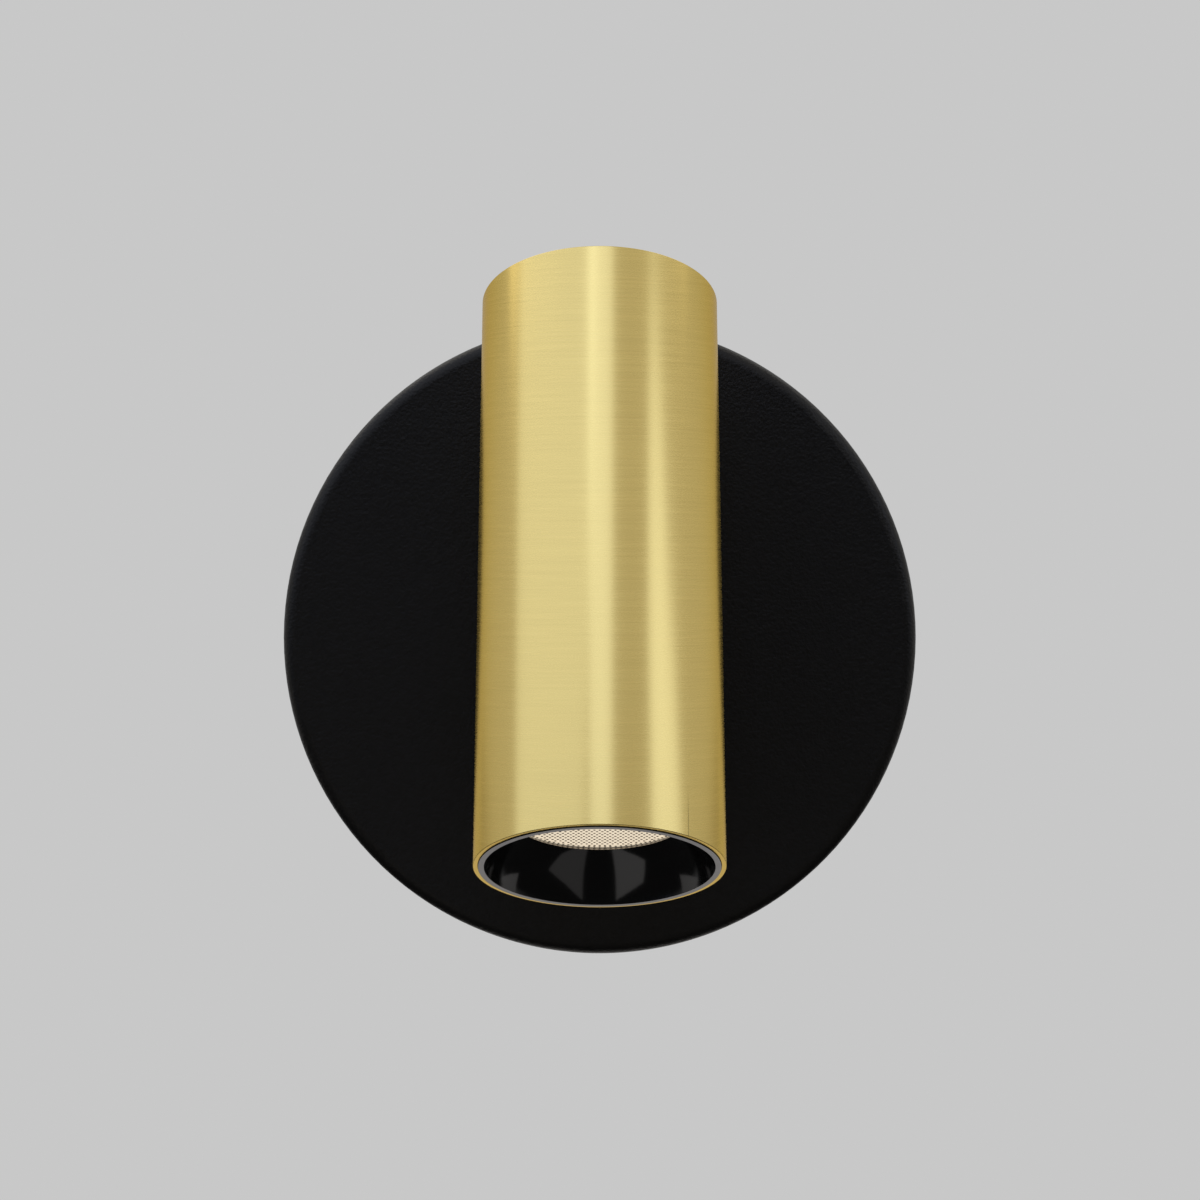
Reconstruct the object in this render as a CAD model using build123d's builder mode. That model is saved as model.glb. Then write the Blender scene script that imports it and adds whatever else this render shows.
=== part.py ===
from build123d import *
import os
from math import cos, radians, sin, sqrt, tan

# Wall spotlight in millimetres.
# The wall is the plane y = 0, the light stands out from it along -Y and +Z is up.
# Heights are measured out from the wall, depths from the lamp's mouth along its tube.

# Fits
running_clearance = 0.08
fit_clearance = 0.05
slide_clearance = 0.2
face_play = 0.05
hole_clearance = 0.2

# Canopy, the round dish on the wall
canopy_diameter = 150.0
canopy_depth = 24.0
canopy_wall = 1.6
canopy_bend_radius = 1.4
canopy_screw_diameter = 4.0
canopy_screw_length = 8.0
canopy_screw_recess = 0.3
canopy_screw_socket = 2.0
canopy_screw_socket_depth = 2.5
canopy_screw_height = 9.0

# Wall bracket, a strap with bent tabs and an ear for the terminals
strap_width = 28.0
strap_thickness = 1.5
strap_bend_radius = 1.5
strap_corner_radius = 4.0
tab_height = 15.0
tab_clearance = 0.4
wall_slot_spacing = 70.0
wall_slot_length = 20.0
wall_slot_width = 5.0
cable_hole_diameter = 18.0
ear_height = 25.0
ear_margin = 2.0
earth_offset = 30.0

# Terminal block
pole_count = 3
pole_pitch = 11.0
terminal_depth = 20.0
terminal_height = 14.0
terminal_shoulder = 8.0
terminal_top_depth = 15.0
terminal_groove = 1.2
terminal_groove_depth = 5.0
terminal_entry_height = 7.0
terminal_entry_diameter = 3.4
terminal_well_diameter = 4.6
terminal_well_spacing = 10.0
terminal_screw_height = 4.0
fixing_screw_diameter = 3.0
fixing_head_diameter = 5.2
fixing_head_height = 2.0
fixing_seat_height = 5.0
screw_slot_width = 0.8
screw_slot_depth = 0.9
screw_end_gap = 0.3

# Earth point
earth_lug_thickness = 0.8
earth_lug_diameter = 8.4
earth_barrel_diameter = 3.4
earth_barrel_length = 6.0
earth_screw_diameter = 4.0
earth_head_diameter = 7.0
earth_head_height = 2.4

# LED driver
driver_length = 70.0
driver_width = 32.0
driver_case_height = 16.5
driver_lid_height = 1.5
driver_corner_radius = 3.0
driver_gap = 5.0
driver_lid_inset = 0.6
driver_core_spacing = 10.0
pad_thickness = 1.0
pad_length = 14.0
pad_spacing = 44.0

# Leads
core_diameter = 2.2
lead_diameter = 3.2
lead_entry = 4.0
lead_drop = 7.0
lead_bend_height = 4.5
lead_meeting_height = 16.0
lead_pivot_gap = 0.9

# Swivel on the canopy's centre
nipple_diameter = 10.0
nipple_bore = 7.0
nipple_projection = 1.2
bush_wall = 1.5
bush_flange_diameter = 22.0
bush_flange_thickness = 1.0
bush_projection = 0.5
stop_washer_diameter = 17.0
stop_washer_thickness = 1.0
stop_tab_width = 2.5
stop_tab_reach = 13.0
stop_pin_diameter = 2.5
stop_pin_radius = 11.5
stop_pin_length = 3.0
disc_spring_height = 1.5
disc_spring_thickness = 0.7
nut_width = 14.0
nut_thickness = 3.5

# Swivel arm with its fork
collar_diameter = 26.0
collar_height = 5.0
collar_chamfer = 1.0
stem_diameter = 16.0
stem_root_radius = 3.0
stem_bore = 6.0
nipple_engagement = 9.0
pivot_standoff = 36.5
knuckle_radius = 9.0
fork_width = 24.0
fork_slot = 12.4
fork_bridge = 5.0
fork_shoulder = 3.0
fork_edge_radius = 0.8

# Tilt pivot
pivot_screw_diameter = 5.0
pivot_head_diameter = 9.0
pivot_head_height = 2.6
pivot_head_recess = 0.2
pivot_socket = 3.0
pivot_socket_depth = 1.6
friction_washer_diameter = 16.0
friction_washer_thickness = 0.5

# Hinge lug on the tube
pivot_gap = 12.0
pivot_depth = 67.1
cheek_radius = 8.6
cheek_thickness = 2.4
web_start = 3.0
slot_clearance = 0.8
saddle_width = 28.0
saddle_length = 42.0
saddle_thickness = 2.5
saddle_corner_radius = 5.0
saddle_chamfer = 0.6
lug_screw_spacing = 28.0
lug_screw_diameter = 3.0
lug_screw_head_diameter = 5.8
lug_screw_length = 14.0
lug_screw_socket = 2.0
lug_screw_socket_depth = 1.2

# Lamp tube
rest_tilt = 23.9
tube_diameter = 52.0
tube_wall = 1.0
tube_length = 131.5
tube_edge = 0.25
rear_cap_recess = 0.4
rear_cap_thickness = 2.5
rear_cap_skirt = 7.0
rear_cap_wall = 1.5
rear_cap_chamfer = 0.4

# Lead grommet in the tube's wall
grommet_diameter = 8.0
grommet_flange_diameter = 10.0
grommet_flange_thickness = 1.3
grommet_projection = 0.6

# Heat sink
sink_depth = 28.8
sink_plate = 5.0
sink_length = 63.2
sink_core_diameter = 18.0
fin_thickness = 1.6
fin_count = 13
fin_open_angle = 100.0
rib_width = 6.0
rib_gap = 12.0
lead_channel = 14.0
lead_bend_radius = 8.0

# LED and its holder
thermal_pad_thickness = 0.4
board_size = 20.0
board_thickness = 1.2
emitter_diameter = 12.0
emitter_thickness = 0.6
led_holder_gap = 1.2
led_holder_height = 4.2
led_window_clearance = 0.6
led_window_chamfer = 1.6
led_screw_margin = 4.0
led_screw_diameter = 3.0
led_screw_head_diameter = 5.4
led_screw_head_height = 1.8
led_screw_grip = 4.0
led_screw_socket = 2.0

# Lens and its holder
lens_depth = 10.8
lens_flange_thickness = 1.8
lens_flange_width = 1.6
lens_body_length = 12.5
lens_body_bulge = 1.6
lens_rear_diameter = 13.0
lens_cup_diameter = 9.0
lens_cup_length = 5.8
lens_cup_dome = 1.0
lens_holder_wall = 1.8
lens_holder_gap = 1.6
lens_ledge_thickness = 1.6

# Baffle in the mouth
baffle_recess = 0.1
baffle_rim_width = 1.2
baffle_rim_thickness = 1.5
baffle_lens_cover = 1.6
baffle_bulge = 0.8
baffle_wall = 1.2
baffle_skirt_wall = 2.0
baffle_skirt_length = 15.0
baffle_lip_thickness = 0.8
baffle_lip_width = 3.2
ring_groove_depth = 0.9
ring_groove_width = 2.0
ring_groove_inset = 2.0

# Places worked out from the sizes above
canopy_radius = canopy_diameter / 2
canopy_inner_radius = canopy_radius - canopy_wall
canopy_floor = canopy_depth - canopy_wall
tab_face = sqrt(canopy_inner_radius**2 - (strap_width / 2) ** 2) - tab_clearance
terminal_length = pole_count * pole_pitch + terminal_groove
ear_left = terminal_length / 2 + ear_margin
ear_right = earth_offset + earth_lug_diameter / 2 + ear_margin
terminal_z = strap_width / 2 + ear_height - ear_margin - terminal_depth / 2
terminal_foot = terminal_z - terminal_depth / 2
core_height = strap_thickness + terminal_entry_height
driver_top = canopy_floor - pad_thickness
driver_z = -(strap_width / 2 + driver_gap + driver_width / 2)

nipple_radius = nipple_diameter / 2
bush_radius = nipple_radius + running_clearance + bush_wall
bush_end = canopy_floor - bush_projection
stop_washer_top = bush_end - face_play
spring_top = stop_washer_top - stop_washer_thickness
nut_top = spring_top - disc_spring_height
nut_pitch = nut_thickness + face_play
nipple_end = nut_top - 2 * nut_pitch - nipple_projection
arm_base = canopy_depth + bush_flange_thickness + face_play
pivot_height = canopy_depth + pivot_standoff
fork_slot_depth = cheek_radius + slot_clearance
fork_length = fork_slot_depth + fork_bridge
cheek_face = fork_slot / 2 - friction_washer_thickness - 2 * face_play
cheek_inner = cheek_face - cheek_thickness
pivot_seat = fork_width / 2 - pivot_head_recess - pivot_head_height

tube_radius = tube_diameter / 2
tube_inner_radius = tube_radius - tube_wall
rib_centre = (rib_gap + rib_width) / 2
sink_radius = tube_inner_radius - slide_clearance
board_face = sink_depth - thermal_pad_thickness - board_thickness
emitter_face = board_face - emitter_thickness
led_holder_face = sink_depth - led_holder_height
lens_flange_rear = lens_depth + lens_flange_thickness
lens_rear = lens_flange_rear + lens_body_length
rim_outer = tube_inner_radius - fit_clearance
rim_inner = rim_outer - baffle_rim_width
skirt_outer = tube_inner_radius - slide_clearance
skirt_inner = skirt_outer - baffle_skirt_wall
lens_holder_radius = skirt_inner - lens_holder_gap
lens_pocket_radius = lens_holder_radius - lens_holder_wall
lens_flange_radius = lens_pocket_radius - hole_clearance
lens_body_radius = lens_flange_radius - lens_flange_width
aperture_radius = lens_flange_radius - baffle_lens_cover
led_holder_radius = lens_pocket_radius - led_holder_gap
led_screw_spacing = 2 * (led_holder_radius - led_screw_margin)

# Frames: the wall faces out along -Y, the swivel turns about the wall's normal,
# the tilt axis lies along X and the lamp's own axis leans by the rest tilt
wall = Plane.XZ
swivel_axis = Axis((0, 0, 0), (0, -1, 0))
swivel_section = Plane(origin=(0, 0, 0), x_dir=(1, 0, 0), z_dir=(0, 0, -1))
tube_up = Vector(0, sin(radians(rest_tilt)), cos(radians(rest_tilt)))
tube_out = Vector(0, -cos(radians(rest_tilt)), sin(radians(rest_tilt)))
pivot = Vector(0, -pivot_height, 0)
lug_foot = pivot + tube_out * (tube_radius + pivot_gap)
mouth_centre = lug_foot - tube_up * pivot_depth
mouth = Plane(origin=mouth_centre, x_dir=(1, 0, 0), z_dir=tube_up)
tube_section = Plane(origin=mouth_centre, x_dir=(1, 0, 0), z_dir=tube_out)
tube_axis = Axis(mouth_centre, tube_up)
lug_frame = Plane(origin=lug_foot, x_dir=(1, 0, 0), z_dir=-tube_out)
fork_side = Plane(origin=pivot, x_dir=(0, -1, 0), z_dir=(-1, 0, 0))
lug_side = Plane(origin=pivot, x_dir=tube_out, z_dir=(-1, 0, 0))
pivot_side = Plane(origin=pivot, x_dir=(0, 1, 0), z_dir=(1, 0, 0))


def at_wall(x, height, z):
    """A point given by its place across the wall and its height out from it."""
    return Vector(x, -height, z)


def in_canopy(across, height, up):
    """A point given by its shares of the canopy's inner radius and its height."""
    return at_wall(across * canopy_inner_radius, height, up * canopy_inner_radius)


def round_screw(seat, diameter, length, head_diameter, head_height, drive, drive_size, drive_depth):
    """A screw whose head stands on the seat plane, along the plane's normal."""
    with BuildPart() as screw:
        with BuildSketch(seat):
            Circle(diameter / 2)
        extrude(amount=-length)
        with BuildSketch(seat):
            Circle(head_diameter / 2)
        extrude(amount=head_height)
        head_edge = screw.edges().sort_by(Axis(seat.origin, seat.z_dir))[-1]
        chamfer(head_edge, head_height / 5)
        with BuildSketch(seat.offset(head_height)):
            if drive == "hexagon":
                RegularPolygon(drive_size / 2, 6, major_radius=False)
            else:
                Rectangle(head_diameter, drive_size)
        extrude(amount=-drive_depth, mode=Mode.SUBTRACT)
    return screw.part


def countersunk_screw(face, diameter, length, head_diameter, socket, socket_depth):
    """A screw whose flat head lies flush with the face plane."""
    with BuildPart() as screw:
        with BuildSketch(face):
            Circle(diameter / 2)
        extrude(amount=-length)
        with BuildSketch(face):
            Circle(head_diameter / 2)
        extrude(amount=-(head_diameter - diameter) / 2, taper=45)
        with BuildSketch(face):
            RegularPolygon(socket / 2, 6, major_radius=False)
        extrude(amount=-socket_depth, mode=Mode.SUBTRACT)
    return screw.part


def flat_ring(face, outer_radius, inner_radius, thickness):
    """A flat ring that stands on the face plane."""
    with BuildPart() as ring:
        with BuildSketch(face):
            Circle(outer_radius)
            Circle(inner_radius, mode=Mode.SUBTRACT)
        extrude(amount=thickness)
    return ring.part


def lead(points, diameter):
    """A lead through the points, each corner as round as its two runs allow."""
    radii = []
    for before, corner, after in zip(points, points[1:], points[2:]):
        shorter_run = min((corner - before).length, (after - corner).length)
        turn = (corner - before).get_angle(after - corner)
        radii.append(0.45 * shorter_run / tan(radians(turn / 2)))
    with BuildPart() as cable:
        with BuildLine() as route:
            FilletPolyline(*points, radius=radii)
        with BuildSketch(Plane(origin=route.line @ 0, z_dir=route.line % 0)):
            Circle(diameter / 2)
        sweep()
    print("lead bends", [round(radius, 1) for radius in radii])
    return cable.part


nodes = {}

# Wall bracket
with BuildPart() as wall_bracket:
    with BuildSketch(Plane.XY):
        with Locations((0, -tab_height / 2)):
            Rectangle(2 * tab_face, tab_height)
        with Locations((0, -tab_height / 2 - strap_thickness)):
            Rectangle(2 * (tab_face - strap_thickness), tab_height, mode=Mode.SUBTRACT)
    extrude(amount=strap_width / 2, both=True)
    fillet(wall_bracket.edges().filter_by(Axis.Z).group_by(Axis.Y)[-2], strap_bend_radius)
    fillet(wall_bracket.edges().filter_by(Axis.Z).group_by(Axis.Y)[-1], strap_bend_radius + strap_thickness)
    fillet(wall_bracket.edges().filter_by(Axis.X).group_by(Axis.Y)[0], strap_corner_radius)
    with BuildSketch(wall):
        with Locations((-ear_left, 0)):
            Rectangle(ear_left + ear_right, strap_width / 2 + ear_height, align=Align.MIN)
    extrude(amount=strap_thickness)
    fillet(wall_bracket.edges().filter_by(Axis.Y).group_by(Axis.Z)[-1], strap_corner_radius)
    with BuildSketch(wall):
        with GridLocations(wall_slot_spacing, 0, 2, 1):
            SlotOverall(wall_slot_length, wall_slot_width)
        Circle(cable_hole_diameter / 2)
        with Locations((pole_pitch / 2, terminal_z)):
            Circle(fixing_screw_diameter / 2 + fit_clearance)
        with Locations((earth_offset, terminal_z)):
            Circle(earth_screw_diameter / 2 + fit_clearance)
    extrude(amount=strap_thickness, mode=Mode.SUBTRACT)
    with BuildSketch(Plane.YZ):
        with Locations((-canopy_screw_height, 0)):
            Circle(canopy_screw_diameter / 2 + fit_clearance)
    extrude(amount=canopy_radius, both=True, mode=Mode.SUBTRACT)
nodes["wall_bracket"] = wall_bracket.part

# Canopy, a turned dish with its open side to the wall
with BuildPart() as canopy:
    inner_bend = canopy_bend_radius
    outer_bend = canopy_bend_radius + canopy_wall
    bush_hole = bush_radius + fit_clearance
    with BuildSketch(swivel_section):
        with BuildLine():
            Line((canopy_radius, 0), (canopy_radius, canopy_depth - outer_bend))
            RadiusArc(
                (canopy_radius, canopy_depth - outer_bend),
                (canopy_radius - outer_bend, canopy_depth),
                -outer_bend,
            )
            Polyline(
                (canopy_radius - outer_bend, canopy_depth),
                (bush_hole, canopy_depth),
                (bush_hole, canopy_floor),
                (canopy_inner_radius - inner_bend, canopy_floor),
            )
            RadiusArc(
                (canopy_inner_radius - inner_bend, canopy_floor),
                (canopy_inner_radius, canopy_floor - inner_bend),
                inner_bend,
            )
            Polyline(
                (canopy_inner_radius, canopy_floor - inner_bend), (canopy_inner_radius, 0), (canopy_radius, 0)
            )
        make_face()
    revolve(axis=swivel_axis)
    with BuildSketch(Plane.YZ):
        with Locations((-canopy_screw_height, 0)):
            Circle(canopy_screw_diameter / 2 + hole_clearance)
    extrude(amount=canopy_diameter, both=True, mode=Mode.SUBTRACT)
nodes["canopy"] = canopy.part

# Headless screws through the canopy's rim into the bracket's tabs
with BuildPart() as canopy_screws:
    screw_place = at_wall(canopy_radius - canopy_screw_recess, canopy_screw_height, 0)
    screw_face = Plane(origin=screw_place, x_dir=(0, 0, 1), z_dir=(1, 0, 0))
    with BuildSketch(screw_face):
        Circle(canopy_screw_diameter / 2)
    extrude(amount=-canopy_screw_length)
    with BuildSketch(screw_face):
        RegularPolygon(canopy_screw_socket / 2, 6, major_radius=False)
    extrude(amount=-canopy_screw_socket_depth, mode=Mode.SUBTRACT)
    mirror(about=Plane.YZ)
nodes["canopy_screws"] = canopy_screws.part

# Terminal block on the bracket's ear
pole_places = [(index - (pole_count - 1) / 2) * pole_pitch for index in range(pole_count)]
with BuildPart() as terminal_block:
    block_side = Plane(origin=at_wall(0, strap_thickness, terminal_z), x_dir=(0, 0, 1), z_dir=(1, 0, 0))
    with BuildSketch(block_side):
        with BuildLine():
            Polyline(
                (-terminal_depth / 2, 0),
                (terminal_depth / 2, 0),
                (terminal_depth / 2, terminal_shoulder),
                (terminal_top_depth / 2, terminal_shoulder),
                (terminal_top_depth / 2, terminal_height),
                (-terminal_top_depth / 2, terminal_height),
                (-terminal_top_depth / 2, terminal_shoulder),
                (-terminal_depth / 2, terminal_shoulder),
                close=True,
            )
        make_face()
    extrude(amount=terminal_length / 2, both=True)
    with BuildSketch(wall.offset(strap_thickness + terminal_height)):
        for left, right in zip(pole_places, pole_places[1:]):
            with Locations(((left + right) / 2, terminal_z)):
                Rectangle(terminal_groove, terminal_depth)
    extrude(amount=-terminal_groove_depth, mode=Mode.SUBTRACT)
    with BuildSketch(wall.offset(strap_thickness + terminal_height)):
        for place in pole_places:
            with Locations((place, terminal_z)):
                with GridLocations(0, terminal_well_spacing, 1, 2):
                    Circle(terminal_well_diameter / 2)
    extrude(amount=-(terminal_height - terminal_entry_height), mode=Mode.SUBTRACT)
    with BuildSketch(Plane.XY.offset(terminal_foot)):
        for place in pole_places:
            with Locations((place, -core_height)):
                Circle(terminal_entry_diameter / 2)
    extrude(amount=terminal_depth, mode=Mode.SUBTRACT)
    with BuildSketch(wall.offset(strap_thickness)):
        with Locations((pole_pitch / 2, terminal_z)):
            Circle(fixing_screw_diameter / 2 + fit_clearance)
    extrude(amount=terminal_height, mode=Mode.SUBTRACT)
    with BuildSketch(wall.offset(strap_thickness + fixing_seat_height)):
        with Locations((pole_pitch / 2, terminal_z)):
            Circle(fixing_head_diameter / 2 + fit_clearance)
    extrude(amount=terminal_height, mode=Mode.SUBTRACT)
nodes["terminal_block"] = terminal_block.part

with BuildPart() as terminal_screws:
    clamp_foot = core_height + core_diameter / 2
    for place in pole_places:
        for side in (-1, 1):
            clamp_z = terminal_z + side * terminal_well_spacing / 2
            clamp_plane = Plane(origin=at_wall(place, clamp_foot, clamp_z), x_dir=(1, 0, 0), z_dir=(0, -1, 0))
            with BuildSketch(clamp_plane):
                Circle(terminal_well_diameter / 2 - fit_clearance)
            extrude(amount=terminal_screw_height)
            with BuildSketch(clamp_plane.offset(terminal_screw_height)):
                Rectangle(terminal_well_diameter, screw_slot_width)
            extrude(amount=-screw_slot_depth, mode=Mode.SUBTRACT)
nodes["terminal_screws"] = terminal_screws.part

fixing_seat = Plane(
    origin=at_wall(pole_pitch / 2, strap_thickness + fixing_seat_height, terminal_z),
    x_dir=(1, 0, 0), z_dir=(0, -1, 0),
)
nodes["terminal_fixing_screw"] = round_screw(
    fixing_seat, fixing_screw_diameter, strap_thickness + fixing_seat_height - screw_end_gap,
    fixing_head_diameter, fixing_head_height, "slot", screw_slot_width, screw_slot_depth,
)

# Earth point beside the terminal block
with BuildPart() as earth_lug:
    lug_place = at_wall(earth_offset, strap_thickness, terminal_z)
    lug_plane = Plane(origin=lug_place, x_dir=(1, 0, 0), z_dir=(0, -1, 0))
    with BuildSketch(lug_plane):
        Circle(earth_lug_diameter / 2)
        with Locations((0, -earth_lug_diameter / 2)):
            Rectangle(earth_barrel_diameter, earth_barrel_length)
        Circle(earth_screw_diameter / 2 + fit_clearance, mode=Mode.SUBTRACT)
    extrude(amount=earth_lug_thickness)
    barrel_top = terminal_z - earth_lug_diameter / 2 - earth_lug_thickness
    barrel_height = strap_thickness + earth_barrel_diameter / 2
    with BuildSketch(Plane(origin=at_wall(earth_offset, barrel_height, barrel_top), z_dir=(0, 0, -1))):
        Circle(earth_barrel_diameter / 2)
    extrude(amount=earth_barrel_length)
    with BuildSketch(Plane(origin=at_wall(earth_offset, barrel_height, barrel_top), z_dir=(0, 0, -1))):
        Circle(core_diameter / 2 + fit_clearance)
    extrude(amount=earth_barrel_length, mode=Mode.SUBTRACT)
nodes["earth_lug"] = earth_lug.part

nodes["earth_screw"] = round_screw(
    lug_plane.offset(earth_lug_thickness), earth_screw_diameter,
    earth_lug_thickness + strap_thickness - screw_end_gap,
    earth_head_diameter, earth_head_height, "slot", screw_slot_width, screw_slot_depth,
)

# LED driver on the canopy's floor, its lid towards the wall
driver_base = driver_top - driver_case_height
driver_side_places = [driver_z + side * driver_core_spacing / 2 for side in (1, -1)]
with BuildPart() as driver_case:
    with BuildSketch(wall.offset(driver_base)):
        with Locations((0, driver_z)):
            RectangleRounded(driver_length, driver_width, driver_corner_radius)
    extrude(amount=driver_case_height)
    chamfer(driver_case.faces().sort_by(Axis.Y)[0].edges(), driver_corner_radius / 4)
    with BuildSketch(Plane.YZ.offset(-driver_length / 2)):
        for place in driver_side_places:
            with Locations((-core_height, place)):
                Circle(core_diameter / 2 + hole_clearance)
    extrude(amount=lead_entry, mode=Mode.SUBTRACT)
    with BuildSketch(Plane.YZ.offset(driver_length / 2)):
        with Locations((-core_height, driver_z)):
            Circle(lead_diameter / 2 + hole_clearance)
    extrude(amount=-lead_entry, mode=Mode.SUBTRACT)
nodes["driver_case"] = driver_case.part

with BuildPart() as driver_lid:
    with BuildSketch(wall.offset(driver_base - driver_lid_height)):
        with Locations((0, driver_z)):
            RectangleRounded(
                driver_length - 2 * driver_lid_inset, driver_width - 2 * driver_lid_inset,
                driver_corner_radius - driver_lid_inset,
            )
    extrude(amount=driver_lid_height)
    chamfer(driver_lid.faces().sort_by(Axis.Y)[-1].edges(), driver_lid_height / 3)
nodes["driver_lid"] = driver_lid.part

with BuildPart() as driver_pads:
    with BuildSketch(wall.offset(driver_top)):
        with Locations((0, driver_z)):
            with GridLocations(pad_spacing, 0, 2, 1):
                Rectangle(pad_length, driver_width - 2 * driver_corner_radius)
    extrude(amount=pad_thickness)
nodes["driver_pads"] = driver_pads.part

# Wiring inside the canopy, routed between the terminals, the driver and the hollow stem
driver_left = -driver_length / 2 + lead_entry
driver_right = driver_length / 2 - lead_entry
core_start = terminal_foot + lead_entry
core_drop = terminal_foot - lead_drop
nodes["live_lead"] = lead(
    [
        at_wall(pole_places[0], core_height, core_start),
        at_wall(pole_places[0], core_height, core_drop),
        in_canopy(-0.37, core_height, 0.06),
        in_canopy(-0.70, core_height, -0.14),
        in_canopy(-0.79, core_height, -0.43),
        at_wall(-0.64 * canopy_inner_radius, core_height, driver_side_places[1]),
        at_wall(driver_left, core_height, driver_side_places[1]),
    ],
    core_diameter,
)
nodes["neutral_lead"] = lead(
    [
        at_wall(pole_places[1], core_height, core_start),
        at_wall(pole_places[1], core_height, core_drop),
        in_canopy(-0.29, core_height, -0.03),
        in_canopy(-0.58, core_height, -0.16),
        in_canopy(-0.67, core_height, -0.32),
        at_wall(-0.58 * canopy_inner_radius, core_height, driver_side_places[0]),
        at_wall(driver_left, core_height, driver_side_places[0]),
    ],
    core_diameter,
)
earth_bend = core_drop - lead_drop
earth_middle = (pole_places[2] + earth_offset) / 2
nodes["earth_lead"] = lead(
    [
        at_wall(pole_places[2], core_height, core_start),
        at_wall(pole_places[2], core_height, core_drop),
        at_wall(earth_middle, (core_height + barrel_height) / 2, earth_bend),
        at_wall(earth_offset, barrel_height, earth_bend),
        at_wall(earth_offset, barrel_height, barrel_top - earth_lug_thickness),
    ],
    core_diameter,
)
nodes["driver_output_lead"] = lead(
    [
        at_wall(driver_right, core_height, driver_z),
        at_wall(0.63 * canopy_inner_radius, core_height, driver_z),
        in_canopy(0.72, core_height, -0.27),
        in_canopy(0.52, (core_height + lead_bend_height) / 2, -0.10),
        in_canopy(0.22, lead_bend_height, -0.05),
        at_wall(0, lead_bend_height, 0),
        at_wall(0, lead_meeting_height, 0),
    ],
    lead_diameter,
)

# Swivel bush and stop on the canopy
with BuildPart() as swivel_bush:
    with BuildSketch(wall.offset(bush_end)):
        Circle(bush_radius)
    extrude(amount=canopy_depth - bush_end)
    with BuildSketch(wall.offset(canopy_depth)):
        Circle(bush_flange_diameter / 2)
    extrude(amount=bush_flange_thickness)
    with BuildSketch(wall.offset(bush_end)):
        Circle(nipple_radius + running_clearance)
    extrude(amount=arm_base - bush_end, mode=Mode.SUBTRACT)
nodes["swivel_bush"] = swivel_bush.part

with BuildPart() as swivel_stop_pin:
    with BuildSketch(wall.offset(canopy_floor - stop_pin_length)):
        with Locations((0, -stop_pin_radius)):
            Circle(stop_pin_diameter / 2)
    extrude(amount=stop_pin_length)
nodes["swivel_stop_pin"] = swivel_stop_pin.part

# Swivel arm: collar, stem and fork
with BuildPart() as swivel_arm:
    collar_top = arm_base + collar_height
    stem_radius = stem_diameter / 2
    fork_root = pivot_height - fork_length
    with BuildSketch(swivel_section):
        with BuildLine():
            Polyline(
                (stem_radius, collar_top + stem_root_radius),
                (stem_radius, fork_root + fork_bridge / 2),
                (0, fork_root + fork_bridge / 2),
                (0, arm_base),
                (collar_diameter / 2, arm_base),
                (collar_diameter / 2, collar_top - collar_chamfer),
                (collar_diameter / 2 - collar_chamfer, collar_top),
                (stem_radius + stem_root_radius, collar_top),
            )
            RadiusArc(
                (stem_radius + stem_root_radius, collar_top),
                (stem_radius, collar_top + stem_root_radius),
                stem_root_radius,
            )
        make_face()
    revolve(axis=swivel_axis)
    with BuildSketch(fork_side):
        Circle(knuckle_radius)
        with Locations((-fork_length, 0)):
            Rectangle(fork_length, 2 * knuckle_radius, align=(Align.MIN, Align.CENTER))
    extrude(amount=fork_width / 2, both=True)
    fork_back = swivel_arm.edges().filter_by(Axis.Z).group_by(Axis.Y)[-1]
    chamfer(fork_back, fork_shoulder)
    fork_outside = swivel_arm.faces().filter_by(Axis.X)
    fillet(fork_outside.edges().filter_by(GeomType.CIRCLE), fork_edge_radius)
    with BuildSketch(fork_side):
        with Locations((-fork_slot_depth, 0)):
            Rectangle(
                fork_slot_depth + 2 * knuckle_radius, 4 * knuckle_radius, align=(Align.MIN, Align.CENTER)
            )
    extrude(amount=fork_slot / 2, both=True, mode=Mode.SUBTRACT)
    with BuildSketch(wall.offset(arm_base)):
        Circle(nipple_radius + fit_clearance)
    extrude(amount=nipple_engagement, mode=Mode.SUBTRACT)
    with BuildSketch(wall.offset(arm_base)):
        Circle(stem_bore / 2)
    extrude(amount=pivot_height - arm_base, mode=Mode.SUBTRACT)
    with BuildSketch(pivot_side):
        Circle(pivot_screw_diameter / 2 + fit_clearance)
    extrude(amount=fork_width, both=True, mode=Mode.SUBTRACT)
    for side in (1, -1):
        with BuildSketch(pivot_side.offset(side * pivot_seat)):
            Circle(pivot_head_diameter / 2 + hole_clearance)
        extrude(amount=side * fork_width, mode=Mode.SUBTRACT)
nodes["swivel_arm"] = swivel_arm.part

nodes["swivel_nipple"] = flat_ring(
    wall.offset(nipple_end), nipple_radius, nipple_bore / 2, arm_base + nipple_engagement - nipple_end
)

with BuildPart() as stop_washer:
    with BuildSketch(wall.offset(spring_top)):
        Circle(stop_washer_diameter / 2)
        Rectangle(stop_tab_width, stop_tab_reach, align=(Align.CENTER, Align.MIN))
        Circle(nipple_radius + fit_clearance, mode=Mode.SUBTRACT)
    extrude(amount=stop_washer_thickness)
nodes["stop_washer"] = stop_washer.part

with BuildPart() as disc_spring:
    spring_inner = nipple_radius + hole_clearance
    spring_outer = stop_washer_diameter / 2
    with BuildSketch(swivel_section):
        with BuildLine():
            Polyline(
                (spring_inner, nut_top),
                (spring_outer, spring_top - disc_spring_thickness),
                (spring_outer, spring_top),
                (spring_inner, nut_top + disc_spring_thickness),
                close=True,
            )
        make_face()
    revolve(axis=swivel_axis)
nodes["disc_spring"] = disc_spring.part

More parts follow.
